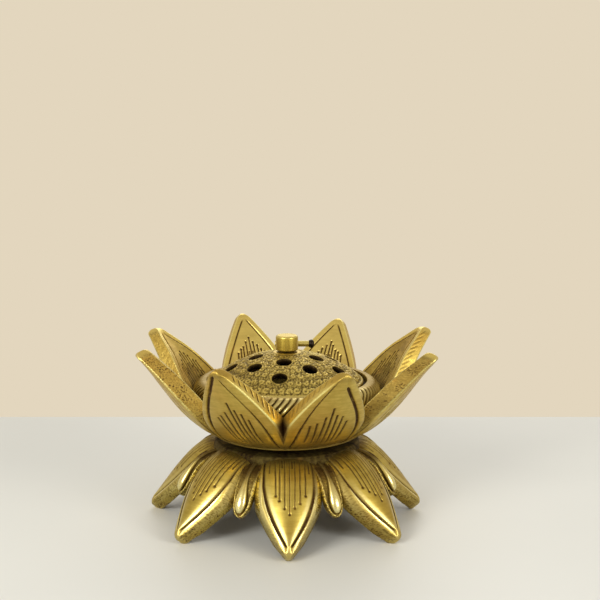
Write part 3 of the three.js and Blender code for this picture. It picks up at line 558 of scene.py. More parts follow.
bowlPetal = {
    "rising": 1,
    "line": {"rootRadius": 28.0, "rootHeight": levels["bowlBottom"] + 0.2, "tipRadius": 61.1,
             "tipHeight": levels["bowlBottom"] + 36.4, "rootAngle": 22.4, "tipAngle": 50.1,
             "rootPull": 17.2, "tipPull": 18.5},
    "turns": (-24.85, 20.95, 66.45, 106.65, 156.5, 200.2, 250.25, 288.45),
    "leans": (0.3, 0, -2, 1.1, -0.9, 0.5, 0.8, -1),
    "stretches": (0.98, 0.955, 1.0, 1.055, 1.005, 1.04, 1.025, 0.985),
    # how much fuller a petal is than the others, and how far its tip turns outwards
    "bulks": (0, 0, 1.2, 1.1, 0, 0, 1.2, 1.5),
    "flares": (0, 0, 0, 1.1, 0, 0, 0.8, 0),
    "outline": petalWidth, "root": 13.45, "widest": 15.75, "tip": 1.8, "widestShare": 0.38, "power": 1.38,
    "closes": 0.94, "tipRound": 1.9, "shortfall": 0.03, "rimCrowding": 1,
    "tipNarrows": 0, "tipThins": 0.3, "tipGrows": 1.016,
    "thickness": lambda share: 5.0,
    "spread": lambda share: between(1.1, -0.4, share),
    "curl": lambda share: between(56, 10.4, share ** 2.1),
    "edgeRound": 0.55, "border": 3.2, "cornerSteps": 3, "rimSteps": 19,
    "borderSteps": 11, "outerSteps": 76, "innerBorderSteps": 9, "innerSteps": 66, "rows": 190,
    # grooves and cut lines of the outer face: the two front petals have their own, the others share a third
    "seamGroove": (
        ((0.96, 0.2), (0.88, 1.0), (0.81, 2.8), (0.72, 5.1), (0.62, 7.2), (0.51, 9.1), (0.4, 10.6),
         (0.31, 11.1), (0.19, 11.2), (0.05, 11.0)),
        ((0.96, 2.2), (0.84, 4.6), (0.74, 6.3), (0.64, 8.1), (0.53, 9.7), (0.4, 10.7), (0.19, 10.9),
         (0.05, 10.7)),
        ((0.96, 1.0), (0.86, 3.0), (0.76, 5.2), (0.64, 7.7), (0.52, 9.5), (0.4, 10.7), (0.19, 11.0),
         (0.05, 10.8)),
    ),
    "openGroove": (
        ((0.97, 1.0), (0.88, 3.1), (0.77, 5.6), (0.65, 8.2), (0.54, 10.5), (0.4, 12.1), (0.29, 12.5),
         (0.2, 12.4), (0.05, 12.1)),
        ((0.95, 0.4), (0.864, 1.6), (0.77, 4.2), (0.66, 7.0), (0.55, 9.6), (0.44, 11.3), (0.3, 12.5),
         (0.2, 12.1), (0.05, 11.8)),
        ((0.97, 0.8), (0.87, 2.5), (0.77, 4.9), (0.66, 7.6), (0.54, 10.1), (0.42, 11.7), (0.3, 12.5),
         (0.2, 12.2), (0.05, 11.9)),
    ),
    "openGrooveEnds": (0.955, 0.875, 0.92),
    "fans": (
        ((0.488, -6.8, 0.17, -3.2), (0.528, -5.1, 0.165, -1.6), (0.564, -2.85, 0.165, 0.2),
         (0.676, -0.45, 0.17, 2.05), (0.604, 1.55, 0.175, 3.8), (0.562, 4.0, 0.18, 5.3),
         (0.498, 6.1, 0.18, 6.7)),
        ((0.448, -7.8, 0.2, -6.9), (0.488, -5.5, 0.195, -4.2), (0.554, -2.7, 0.19, -2.3),
         (0.644, -0.7, 0.18, -0.3), (0.564, 1.6, 0.18, 1.75), (0.538, 3.95, 0.18, 3.5),
         (0.478, 6.4, 0.19, 5.4)),
        ((0.46, -7.2, 0.18, -5.6), (0.51, -5.2, 0.18, -3.7), (0.56, -2.8, 0.18, -1.7),
         (0.66, -0.5, 0.18, 0.3), (0.58, 1.7, 0.18, 2.2), (0.55, 4.0, 0.18, 4.0), (0.49, 6.3, 0.18, 5.8)),
    ),
    "lineHalf": 0.42,
    "depths": {"groove": 0.42, "line": 0.34, "ridge": 0.22, "innerGroove": 0.35, "dotted": 0.25,
               "plain": 0.18, "dash": 0.3, "rope": 0.2, "spots": 0.08, "uneven": 0.08},
    # inner face
    "innerGroove": 2.7, "innerShifts": (0, 0, 0, 1.3, 0, 0, -1.3, 0),
    "stamenPitch": 1.75, "stamens": 9, "stamenTop": 0.745,
    "fieldPatina": ((0.2, 0.3), (0.2, 0.3), (0.2, 0.3), (0.18, 0.3), (0, 0.12), (0, 0.12), (0.06, 0.25),
                    (0.2, 0.3)),
    # how each rim is worked, as (dashes, rope hatch, stipple): on its left and on its right
    "rims": (
        ((0, 0.2, 0.8), (1, 0, 0)), ((0.45, 0, 0.12), (0, 0.2, 0.8)),
        ((0, 0.1, 1), (0, 0.3, 0.6)), ((0, 0.7, 0.15), (0, 0.3, 0.5)),
        ((0, 0.1, 0.12), (0, 0.1, 0.12)), ((0, 0.1, 0.12), (0, 0.1, 0.12)),
        ((0, 0.3, 0.5), (0.12, 0, 0.65)), ((0, 0.3, 0.6), (0, 0.15, 1)),
    ),
    # how dark each rim's stippling is: stain in the punch marks, and painted shade on the right-hand side
    # petal
    "rimStains": (0.28, 0.28, 0.58, 0.28, 0.28, 0.28, 0.28, 0.28),
    "dashPitch": 2.9, "dashSlant": 1.1,
    "rope": (1.6, 0.7, 0.1), "wideRope": (2.3, 1.1, 0.4),   # pitch, slant and where in the depth it starts
    # how much the tips are rubbed bright, and how much painted highlight the inner faces carry
    "tipPolish": (0, 0, 0.4, 0.4, 0.4, 0.4, 0.4, 0.4), "fieldPolish": (0, 0, 0, 0, 0.4, 0.4, 0, 0),
}


def bowlRelief(p, flat, index):
    random = np.random.default_rng(index)
    share, across, along, edge, depth = (flat[k] for k in ("share", "across", "along", "edge", "depth"))
    depths, kind = p["depths"], min(index, 2)

    # outer face: a groove inside each edge, thick on the open side, and a fan of cut lines from the root
    outer = flat["outer"]
    towardsOpen = across * (1 if sin(radians(p["turns"][index])) > 0 else -1) > 0
    seam, opened = curveThrough(p["seamGroove"][kind], share), curveThrough(p["openGroove"][kind], share)
    groove = np.where(towardsOpen, opened, seam)
    ends = p["openGrooveEnds"][kind]
    half = np.where(towardsOpen, 0.34 + 0.28 * ramp(0.15, 0.45, share),
                    0.46 - 0.16 * ramp(0.3, 0.75, share))
    half *= 1 - np.where(towardsOpen, ramp(ends - 0.02, ends, share), ramp(0.86, 0.95, share))
    grooved = pulse(np.abs(across) - groove, half, 0.3) * outer * ramp(0.0, 0.05, share) * (half > 0.02)
    cut = engraved(flat, shaken(p["fans"][kind], random, 0.008, 0.12), p["lineHalf"], outer)
    border = np.clip((np.abs(across) - groove) / np.maximum(flat["width"] - groove, 0.5), 0, 1)
    sunk = most(grooved * depths["groove"], cut * depths["line"])
    sunk -= outer * depths["ridge"] * np.sin(pi * border)
    clouds = drift(across * 1.8, along * 0.5, 1.5, 77 + index)
    patina = most(grooved, cut * 0.97, outer * fall(0.02, 0.3, share) * (0.06 + 0.68 * clouds ** 1.3))

    # inner face: a groove inside each edge, and long lines that end in dots
    inner = flat["inner"]
    shift = p["innerShifts"][index]
    inset = edge + shift * np.sign(across) * ramp(0.05, 0.3, 1 - share)
    insideGroove = pulse(inset - p["innerGroove"], 0.36, 0.35) * inner * fall(0.9, 0.95, share)
    middle = (p["stamens"] - 1) / 2
    stamens = []
    for k in range(p["stamens"]):
        x = (k - middle) * p["stamenPitch"]
        top = p["stamenTop"] - 0.021 * abs(x) + random.uniform(-0.012, 0.012)
        stamens.append((top, x * 0.9 + shift + random.uniform(-0.15, 0.15), 0.15, x * 1.25 + shift))
        if k < p["stamens"] - 1:   # a plain line between two dotted ones
            x += p["stamenPitch"] / 2
            stamens.append((p["stamenTop"] - 0.1 - 0.021 * abs(x), x * 0.93 + shift, 0.15, x * 1.25 + shift))
    dotted = engraved(flat, stamens[::2], 0.33, inner, 0.55)
    plain = engraved(flat, stamens[1::2], 0.24, inner)
    sunk += insideGroove * depths["innerGroove"] + dotted * depths["dotted"] + plain * depths["plain"]
    field = inner * ramp(p["innerGroove"] - 0.2, p["innerGroove"] + 0.5, inset)
    shade, clouds = p["fieldPatina"][index]
    patina = most(patina, insideGroove * 0.97, dotted, plain * 0.85,
                  field * (shade + clouds * drift(across, along, 2.4, index + 40)))

    # rims: chisel dashes, a rope hatch or stippling, all hand struck
    rim, deep = flat["rim"], depth / flat["thick"]
    seamRim = rim * (~towardsOpen if index < 2 else 0)
    left, right = p["rims"][index]
    dashes, hatch, stipple = [np.where(flat["side"] < 0, a, b) for a, b in zip(left, right)]
    wobble = (drift(along, along * 0 + index, 5.0, index + 9) - 0.5) * 0.7
    phase = ((along - p["dashSlant"] * depth + wobble) / p["dashPitch"]) % 1
    dash = pulse(phase - 0.5, 0.15, 0.12) * ramp(0.3, 0.4, deep) * fall(0.8, 0.92, deep)
    dash *= fall(0.9, 0.94, share) * ramp(0.4, 0.5, share) * dashes * rim
    pitch, slant, start = p["wideRope" if index == 3 else "rope"]
    phase = ((along + slant * depth + wobble) / pitch) % 1
    rope = pulse(phase - 0.5, 0.15, 0.22) * ramp(start, start + 0.15, deep) * fall(0.8, 0.95, deep)
    rope *= np.clip(hatch + 0.5 * fall(0.3, 0.55, share) * (stipple > 0.3), 0, 1) * rim
    blotch = ramp(0.4, 0.75, drift(along, depth, 1.9, index + 5))
    spots = stippled(along, depth * 1.1, 0.72, index + 60) * stipple * rim
    sunk += dash * depths["dash"] + rope * depths["rope"] + spots * depths["spots"]
    # painted shade: the outer faces' edges and the rims low down, and the facing rims of the two front
    # petals, are darkened where the petals close together
    crease = outer * fall(0.35, 0.9, edge) * fall(0.3, 0.42, share)
    patina = most(patina, spots * (0.6 + 0.4 * blotch), rope * 0.85, dash * 0.97,
                  rim * stipple * p["rimStains"][index], rim * 0.7 * fall(0.15, 0.4, share),
                  seamRim * fall(0.36, 0.46, share), crease * 0.95)

    # rubbed brass and painted highlight: along the faces' edges, between the dashes, at the tips, on the two
    # back petals' inner fields and in a band inside the inner edge
    clean = 1 - patina
    polish = most(np.clip(4 * rim * (outer + inner), 0, 1) * clean * ramp(0.35, 0.5, share),
                  (dashes > 0.2) * rim * fall(0.25, 0.5, deep) * 0.45 * clean,
                  ramp(0.93, 0.98, share) * p["tipPolish"][index],
                  inner * p["fieldPolish"][index] * clean, inner * pulse(inset - 1.3, 0.7, 0.6) * 0.35)
    sunk += (drift(across, along, 3.2, index + 20) - 0.5) * depths["uneven"]
    patina = patina * fall(0.955, 0.985, share)
    if index < 2:   # the tips of the two front petals are dull
        patina = most(patina, 0.3 * ramp(0.9, 0.96, share))
        polish = polish * fall(0.8, 0.95, share)
    return sunk * fall(0.97, 1.0, share), patina, polish


def cupOutside(extra):  # the cup's outer side as [radius, height], foot to lip
    foot, belly = np.array([16.0, levels["cupBottom"]]), np.array([38.0, levels["cupBottom"] + 13.2])
    lip = np.array([33.6, levels["lipTop"]])
    inwards, upwards = lip - belly
    lower = bezier(foot, foot + (11.0, 0.5), belly - (0, 5.28), belly, 24)
    upper = bezier(belly, belly + (0, upwards * 0.55), lip - (inwards * 0.6, 0), lip, 20)
    return [(r + extra, z) for r, z in lower.tolist() + upper.tolist()[1:]]


def clearOfCup(points):  # presses a petal's inner face back where the cup's belly needs the room
    side = np.array(cupOutside(0.8))
    radius = radiusOf(points)
    room = np.interp(points[:, 2], side[:, 1], side[:, 0], left=0, right=0)
    inside = (points[:, 2] > levels["bowlFloor"]) & (radius < room)
    grow = np.where(inside, room / np.maximum(radius, 1e-6), 1)
    return points * np.stack([grow, grow, np.ones_like(grow)], 1)


def aboveTable(points):  # the foot's tips are ground flat
    return np.stack([points[:, 0], points[:, 1], np.maximum(points[:, 2], 0)], 1)


for index in range(8):
    name = "bowlPetal_%d" % (index + 1)
    mesh = petalMesh(bowlPetal, index, bowlRelief, name, clearOfCup)
    place(mesh, name, "base", "bowl", "cast_brass", "lotus_bowl")
print("bowl petals made")

footPetal = {
    "rising": -1,
    "line": {"rootRadius": 28.5, "rootHeight": levels["footTop"] - 0.25, "tipRadius": 57.2, "tipHeight": 2.4,
             "rootAngle": 12.3, "tipAngle": 49.1, "rootPull": 12.0, "tipPull": 13.1},
    "turns": (0.65, 47.75, 89.55, 135.65, 180.65, 225.65, 268.45, 313.35),
    "leans": (0.9, 0.8, -0.7, 0, 0, 0, -0.5, 1.1),
    "stretches": (0.99, 1.01, 0.96, 1, 1, 1, 1, 1),
    "outline": petalWidth, "root": 9.3, "widest": 10.5, "tip": 0.9, "widestShare": 0.49, "power": 1.27,
    "closes": 0.965, "tipRound": 2.0, "shortfall": 0, "rimCrowding": 1.6,
    "tipNarrows": 0.35, "tipThins": 0, "tipGrows": 1.0, "bulks": (0,) * 8, "flares": (0,) * 8,
    "thickness": lambda share: between(4.6, 5.8, share),
    "spread": lambda share: between(3.8, 1.0, share),
    "curl": lambda share: between(25.6, 7.8, share ** 1.9),
    "edgeRound": 0.7, "border": 2.2, "cornerSteps": 3, "rimSteps": 18,
    "borderSteps": 11, "outerSteps": 66, "innerBorderSteps": 3, "innerSteps": 20, "rows": 170,
    "groove": ((0.0, 8.5), (0.1, 9.05), (0.2, 9.6), (0.36, 9.65), (0.53, 8.4), (0.67, 6.2), (0.82, 3.3),
               (0.91, 1.1)),
    "depths": {"groove": 0.5, "line": 0.24, "ridge": 0.16, "spots": 0.08},
    # calm sets how smooth and highlighted each flank's shoulder is; grime darkens the stippled flanks: stain
    # in the punch marks, and painted shade on the right-hand petal
    "shifts": (0.5, 0.3, 0, 0, 0, 0, 0, -0.6), "roll": 1.15, "calm": (1, 0.3, 0.4, 0.5, 0.5, 0.5, 0.4, 0.4),
    "grime": (0.2, 0.36, 0.2, 0.2, 0.2, 0.2, 0.2, 0.2),
    "stamens": ((0.434, -5.2, 0.05, -5.0), (0.496, -3.6, 0.06, -3.3), (0.554, -1.85, 0.05, -1.35),
                (0.614, -0.1, 0.04, 0.35), (0.556, 2.05, 0.05, 2.55), (0.502, 4.0, 0.06, 4.4),
                (0.435, 6.1, 0.05, 6.4)),
    "shortLines": ((0.2, -7.4, 0.04, -6.7), (0.16, -2.4, 0.04, -2.3), (0.17, 1.4, 0.04, 1.5),
                   (0.2, 7.8, 0.04, 7.5)),
}


def footRelief(p, flat, index):
    random, depths = np.random.default_rng(index + 100), p["depths"]
    share, along, outer, rim = flat["share"], flat["along"], flat["outer"], flat["rim"]
    across = flat["across"] - p["shifts"][index] * np.sin(pi * share)
    flat = {**flat, "across": across}
    groove = np.minimum(curveThrough(p["groove"], share), flat["width"] - 0.55)
    gap = np.abs(across) - groove
    half = 0.4 + 0.18 * ramp(0.05, 0.45, share) - 0.2 * ramp(0.7, 0.9, share)
    grooved = pulse(gap + 0.12, half, 0.3) * outer * ramp(0, 0.04, share) * fall(0.895, 0.92, share)

    cut = most(engraved(flat, shaken(p["stamens"], random, 0.012, 0.15), 0.25, outer, 0.55),
               engraved(flat, p["shortLines"], 0.22, outer))
    sunk = grooved * depths["groove"] + cut * depths["line"]

    # the field is crowned between its grooves, and a rounded ridge runs outside them
    inField = np.clip(np.abs(across) / np.maximum(groove, 0.5), 0, 1)
    swell = ramp(0.0, 0.12, share) * fall(0.9, 1.0, share)
    sunk -= outer * swell * (0.6 - 0.7 * inField ** 2.4) * (gap < 0)
    ridge = np.clip(gap / np.maximum(flat["width"] - groove, 0.4), 0, 1)
    sunk -= outer * swell * depths["ridge"] * np.sin(pi * ridge ** 0.7) * (gap > 0)

    # the flanks bulge, smooth with a painted highlight at their shoulder and stippled below it
    deep = np.clip(flat["depth"] / flat["thick"], 0, 1)
    roll = np.maximum(p["spread"](share), 1.4) * (np.sqrt(1 - (1 - deep) ** 2) - deep)
    sunk -= rim * swell * roll * p["roll"]
    calm = fall(0.3, 0.55, deep) * (1 - 0.5 * ramp(0.5, 0.8, share)) * rim * p["calm"][index]
    rough = np.clip(rim - calm, 0, 1)
    spots = stippled(along, np.where(rim > 0.5, flat["depth"], across), 0.7, index + 70) * rough
    sunk += spots * depths["spots"]
    blotch = ramp(0.35, 0.75, drift(along, flat["depth"] + across * 0.3, 1.9, index + 7))
    root = outer * fall(0.02, 0.2, share)
    # painted shade: the flanks low near the root and the underside are darkened; the root is darkened in
    # patches, rust and painted shade under the bowl
    patina = most(grooved, cut * 0.95, spots * (0.6 + 0.4 * blotch),
                  rough * p["grime"][index] * fall(0.85, 0.97, share),
                  rim * 0.85 * ramp(0.5, 0.8, deep) * fall(0.35, 0.6, share),
                  root * (0.35 + 0.6 * drift(across * 2.2, along * 0.5, 1.4, index)), flat["inner"] * 0.55)

    clean = 1 - patina
    # painted highlight, with rubbed brass: on the ridge outside each groove, on the smooth shoulders, beside
    # the grooves and at the tip
    ridgeTop = pulse(ridge - 0.4, 0.3, 0.3) * outer * (gap > 0)
    polish = most(ridgeTop * 0.9 * clean * ramp(0.1, 0.4, share),
                  calm * clean * ramp(0.12, 0.4, share)) * (1 - 0.6 * ramp(0.88, 0.95, share))
    beside = outer * pulse(gap + 1.5, 0.8, 1.2) * ramp(0.25, 0.6, share)
    polish = most(polish, ramp(0.93, 0.98, share) * 0.3, beside * 0.45 * clean)
    fade = fall(0.965, 1.0, share)
    return sunk * fade, patina * fade, polish


for index in range(8):
    name = "footPetal_%d" % (index + 1)
    mesh = petalMesh(footPetal, index, footRelief, name, aboveTable)
    place(mesh, name, "base", "cast", "cast_brass", "lotus_foot")
print("foot petals made")

# Buds, each on a round-ended leaf midway between two foot petals

leaf = {
    **footPetal,
    "line": {"rootRadius": 28.5, "rootHeight": levels["footTop"] - 2.2, "tipRadius": 46.2, "tipHeight": 12.2,
             "rootAngle": 6.5, "tipAngle": 58.7, "rootPull": 11.3, "tipPull": 11.3},
    "turns": [(a + b) / 2 for a, b in zip(footPetal["turns"],
                                          (*footPetal["turns"][1:], footPetal["turns"][0] + 360))],
    "leans": [0] * 8, "stretches": [1] * 8,
    "halfWidth": 3.8, "roundness": 8,
    "outline": lambda p, share: p["halfWidth"] * np.sqrt(np.maximum(0, 1 - share ** p["roundness"])),
    "thickness": lambda share: 3.0,
    "spread": lambda share: 0,
    "curl": lambda share: 30.0,
    "edgeRound": 0.5, "border": 1.3, "tipRound": 0.8, "borderSteps": 6, "outerSteps": 34,
    "innerBorderSteps": 2, "innerSteps": 10, "rimSteps": 8, "cornerSteps": 2, "rows": 90,
    "bud": {"reaches": 0.95, "stem": 0.75, "bulb": 2.15, "stemRise": 0.6, "bulbRise": 2.1, "sunk": 1.0,
            "swells": (0.4, 0.84), "rings": 80, "spokes": 30},
}


def leafRelief(p, flat, index):
    edge, along, across, outer = flat["edge"], flat["along"], flat["across"], flat["outer"]
    channel = outer * ramp(0.7, 1.1, edge)
    spots = stippled(along, across, 0.6, index + 90) * np.clip(outer + flat["rim"], 0, 1)
    # the channel and stippling are dark with patina; the underside and the root are painted shade; a painted
    # highlight runs along the edge
    patina = most(channel * (0.45 + 0.4 * drift(across, along, 1.5, index)), spots * 0.85,
                  flat["inner"] * 0.5, outer * 0.9 * fall(0.3, 0.6, flat["share"]))
    return channel * 0.35 + spots * 0.13, patina, pulse(edge - 0.45, 0.2, 0.3) * outer * 0.2


def budMesh(p, index, name):
    bud = p["bud"]
    mesh, grid = gridMesh(name, bud["spokes"], bud["rings"])
    angle, share = (grid[:, 0] + 1) * pi, (grid[:, 1] + 1) / 2
    swell = ramp(*bud["swells"], share)
    closing = closingFrom(bud["swells"][1], share)
    half = between(bud["stem"], bud["bulb"], swell) * closing
    top = between(bud["stemRise"], bud["bulbRise"], swell) * closing
    base = -bud["sunk"] * closing
    across = half * np.sin(angle)
    out = (top + base) / 2 + (top - base) / 2 * np.cos(angle)
    writePoints(mesh, besideLine(p, index, share * bud["reaches"], across, -out) * mm)
    # painted highlight on the bud's crown; its sides and its stem low down are darkened as painted shade
    crown = ramp(0.1, 0.8, np.cos(angle))
    hidden = fall(0.35, 0.62, share)
    paint(mesh, patina=most(0.85 * fall(-0.3, 0.55, np.cos(angle)), hidden * 0.8),
          polish=crown * (0.2 + 0.8 * swell))
    return closed(mesh)


for index in range(8):
    leafName, budName = "footLeaf_%d" % (index + 1), "footBud_%d" % (index + 1)
    mesh = petalMesh(leaf, index, leafRelief, leafName)
    place(mesh, leafName, "base", "cast", "cast_brass", "lotus_foot")
    place(budMesh(leaf, index, budName), budName, "base", "cast", "cast_brass", "lotus_foot")
print("buds made")

# Discs, collar, cup

boltBore = 2.8
onAxis = 0.001   # the radius at which a turned profile closes
hub = {"radius": 30.5, "topRadius": 29.0, "thickness": 5.4, "edge": 2.0,
       "streaks": 0.16, "streaksFrom": 26.5, "streaksTo": 28.5}
bottom, top = levels["footTop"] - hub["thickness"], levels["footTop"]
mesh = turned("footHub", [(boltBore, bottom), (hub["radius"], bottom), (hub["radius"], top - hub["edge"]),
                          (hub["topRadius"], top), (boltBore, top)], 0.5, 288, True)
points = readPoints(mesh) / mm
streaks = ramp(hub["streaksFrom"], hub["streaksTo"], radiusOf(points)) * (points[:, 2] > bottom + 2)
streaks *= drift(turnOf(points) * 24, 0 * points[:, 2], 0.8, 3)
# painted shade: the hub under the bowl is dark all over, with faint lighter streaks near its outer edge
paint(mesh, patina=1 - hub["streaks"] * streaks, polish=0)
place(mesh, "footHub", "base", "shaded", "cast_brass", "lotus_foot")

bowlFloor = {"radius": 30.0, "underRadius": 28.0, "edge": 0.6, "lineRadius": 29.2}
bottom, top = levels["bowlBottom"], levels["bowlFloor"]
mesh = turned("bowlFloor", [(boltBore, bottom), (bowlFloor["underRadius"], bottom),
                            (bowlFloor["radius"], bottom + bowlFloor["edge"]), (bowlFloor["radius"], top),
                            (boltBore, top)], 0.3, 160, True)
points = readPoints(mesh) / mm
# painted shade: the disc under the bowl is dark all over; the lighter line along its lower rim is a painted
# highlight
upper = ramp(top - bowlFloor["edge"], top, points[:, 2])
rimLine = pulse(radiusOf(points) - bowlFloor["lineRadius"], 0.9, 0.5) * (1 - upper)
paint(mesh, patina=most(upper * 0.6, 0.85 - 0.25 * rimLine), polish=0)
place(mesh, "bowlFloor", "base", "cast", "cast_brass", "lotus_bowl")

collar = {"radius": 22.0, "patina": 0.84}
bottom, top = levels["collarBottom"], levels["collarTop"]
mesh = turned("neckCollar", [(boltBore, bottom), (collar["radius"], bottom), (collar["radius"], top),
                             (boltBore, top)], 0.35, 128, True, 4)
# painted shade: the neck collar is darkened as it sits in shadow under the bowl
paint(mesh, patina=collar["patina"], polish=0)
place(mesh, "neckCollar", "base", "shaded", "dark_brass", "neck_collar")

cup = {
    "ribs": 88, "samples": 8, "ribDepth": 0.7, "slant": 0.024,
    "ribsFrom": 37.0, "ribsFull": 40.0, "ribsFade": 53.7, "ribsTo": 54.9,
    "frontRise": 0.9,   # at the front the ribs run up to the lip
    "lipRadius": 32.5, "ledgeRadius": 29.0, "ledge": 1.5, "wall": 2.75, "floorRadius": 18.0,
    # aside sets the painted shade on the ribs away from the front
    "aside": 0.3,   # how much darker the ribs are away from the front
}
outside = cupOutside(0)
wallTop = levels["ledgeTop"] - cup["ledge"] - 1
inside = [(r - cup["wall"], z) for r, z in outside if levels["cupFloor"] < z < wallTop][::-3]
lip = [outside[-1], (cup["lipRadius"], levels["lipTop"]), (cup["lipRadius"], levels["ledgeTop"]),
       (cup["ledgeRadius"], levels["ledgeTop"]), (cup["ledgeRadius"], levels["ledgeTop"] - cup["ledge"]),
       (inside[0][0] - 1, levels["ledgeTop"] - cup["ledge"] - 0.4)]
profile = ([(boltBore, levels["cupBottom"])] + outside + softened(lip, 0.3)[1:]
           + inside + [(cup["floorRadius"], levels["cupFloor"]), (boltBore, levels["cupFloor"])])
mesh = meshFrom(spun(profile, cup["ribs"] * cup["samples"], True), "flutedCup")
points = readPoints(mesh) / mm
radius, height = radiusOf(points), points[:, 2]
onSide = np.abs(radius - np.interp(height, *np.array(outside).T[::-1])) < 0.05
turnAt = turnOf(points) - cup["slant"] * (height - levels["cupBottom"])
valley = (0.5 - 0.5 * np.cos(tau * ((turnAt * cup["ribs"] / tau) % 1))) ** 2.2
share = onSide * ramp(cup["ribsFrom"], cup["ribsFull"], height)
share *= fall(cup["ribsFade"], cup["ribsTo"], height - cup["frontRise"] * fall(0.5, 0.9, np.abs(turnAt)))
cut = valley * cup["ribDepth"] * share
points[:, :2] *= ((radius - cut) / radius)[:, None]
writePoints(mesh, points * mm)
inCup = (~onSide) & (radius < cup["lipRadius"] - 0.1)
aside = cup["aside"] * ramp(0.4, 0.8, np.abs(turnAt))
# painted shade: the ribs away from the front and the lower side are darkened, and their highlight fades
# there; rib crests carry rubbed brass and painted highlight; the inside is dark all over
paint(mesh, patina=most(valley * share, inCup, onSide * fall(42, 47, height) * 0.8, aside),
      polish=(1 - valley) * share * (0.8 - 2 * aside))
place(mesh, "flutedCup", "base", "cup", "cup_brass", "fluted_cup")

pad = {"size": (17.6, 5.2, 6.8), "middle": (0.0, 35.4, 52.6), "edge": 0.4}
bm = boxAt([m * mm for m in pad["middle"]], [s * mm for s in pad["size"]])
bevel(bm, bm.edges[:], pad["edge"], 3)
mesh = meshFrom(bm, "clevisPad")
paint(mesh, patina=0.35, polish=0)
place(mesh, "clevisPad", "base", "cup", "cup_brass", "fluted_cup", 40)
print("cup made")

# Tray

tray = {"foot": 40.1, "underside": 43.3, "floor": 44.5, "rim": 49.5, "ring": 15.0, "ringWidth": 2.0,
        "flat": 21.5, "outer": 26.0, "wall": 1.2, "lip": 0.8, "floorRings": (12.0, 6.0, onAxis)}
ringInside, underside = tray["ring"] - tray["ringWidth"], tray["underside"]
profile = [(onAxis, underside), (ringInside, underside), (ringInside, tray["foot"]),
           (tray["ring"], tray["foot"]), (tray["ring"], underside), (tray["flat"], underside),
           (tray["outer"], tray["rim"] - tray["lip"]), (tray["outer"], tray["rim"]),
           (tray["outer"] - tray["wall"], tray["rim"]), (tray["flat"] - tray["wall"] * 0.6, tray["floor"])]
mesh = turned("dhoopTray", profile + [(r, tray["floor"]) for r in tray["floorRings"]], 0.4, 128)
points = readPoints(mesh) / mm
height = points[:, 2]
scorch = (1 - 0.4 * ramp(8, 24, radiusOf(points))) * ramp(tray["floor"] - 0.1, tray["floor"], height)
paint(mesh, patina=scorch, polish=ramp(tray["rim"] - 0.5, tray["rim"], height) * 0.7)
place(mesh, "dhoopTray", "tray", "turned", "tray_brass", "dhoop_tray")
print("tray made")

# Lid

lid = {
    "radius": 31.0, "domeRise": 11.7, "thickness": 2.2, "cells": 206, "bossRadius": 5.5, "ventRadius": 3.0,
    "ventRings": ((12.9, -5.0), (18.7, -43.0), (23.0, -7.0)), "ventsInRing": 5,
    # each row of ring marks: distance from the axis, pitch, radius of a mark
    "punchRings": ((28.8, 3.0, 1.3), (25.6, 2.9, 1.2), (22.0, 2.8, 1.12), (19.4, 2.6, 1.05), (16.9, 2.5, 1.0),
                   (14.5, 2.4, 0.95), (12.2, 2.3, 0.9), (10.0, 2.2, 0.85), (7.9, 2.2, 0.8)),
    "punchDepth": 0.34, "ventBevel": 0.28, "rimLine": 30.6, "rimRows": 5,
}
domeRadius = (lid["radius"] ** 2 + lid["domeRise"] ** 2) / (2 * lid["domeRise"])
domeCentre = levels["domeTop"] - domeRadius


def onDome(radius, a):  # a place on the dome and the way out of it there
    rise = sqrt(domeRadius ** 2 - radius ** 2)
    spot = Vector((sin(a) * radius, -cos(a) * radius, domeCentre + rise))
    return spot, (spot - Vector((0, 0, domeCentre))).normalized()


mesh, grid = gridMesh("lidDome", lid["cells"], lid["cells"])
a, b = grid[:, 0], grid[:, 1]
wide = np.abs(a) >= np.abs(b)
reach = np.where(wide, a, b)
safe = np.where(np.abs(reach) < 1e-9, 1, reach)
turnAt = np.where(wide, pi / 4 * b / safe, pi / 2 - pi / 4 * a / safe)
x, y = reach * np.cos(turnAt) * lid["radius"], reach * np.sin(turnAt) * lid["radius"]
z = domeCentre + np.sqrt(np.maximum(0, domeRadius ** 2 - x * x - y * y))
writePoints(mesh, np.stack([x, y, z], 1) * mm)

bm = bmesh.new()
bm.from_mesh(mesh)
vents = [onDome(radius, radians(start + i * 360 / lid["ventsInRing"]))
         for radius, start in lid["ventRings"] for i in range(lid["ventsInRing"])]


def fromVent(points, vent):  # how far points are from the middle and from the axis of a vent
    spot, out = np.array(vent)
    offset = points - spot
    lateral = offset - (offset @ out)[:, None] * out
    return np.linalg.norm(offset, axis=1), np.linalg.norm(lateral, axis=1)


centres = np.array([tuple(f.calc_center_median() / mm) for f in bm.faces])
doomed = np.zeros(len(centres), bool)
for vent in vents:
    away, aside = fromVent(centres, vent)
    doomed |= (aside < lid["ventRadius"]) & (away < 8)
bmesh.ops.delete(bm, geom=[f for f, gone in zip(list(bm.faces), doomed) if gone], context="FACES")
for vertex in [v for v in bm.verts if v.is_boundary]:
    point = vertex.co / mm
    if hypot(point.x, point.y) > lid["radius"] - 0.1:
        continue
    spot, out = min(vents, key=lambda v: (v[0] - point).length)
    lateral = point - spot - out * (point - spot).dot(out)
    point += lateral.normalized() * (lid["ventRadius"] - lateral.length)
    outwards = (point - Vector((0, 0, domeCentre))).normalized()
    vertex.co = (Vector((0, 0, domeCentre)) + outwards * domeRadius) * mm


def only(kind, geom):
    return [g for g in geom if isinstance(g, kind)]


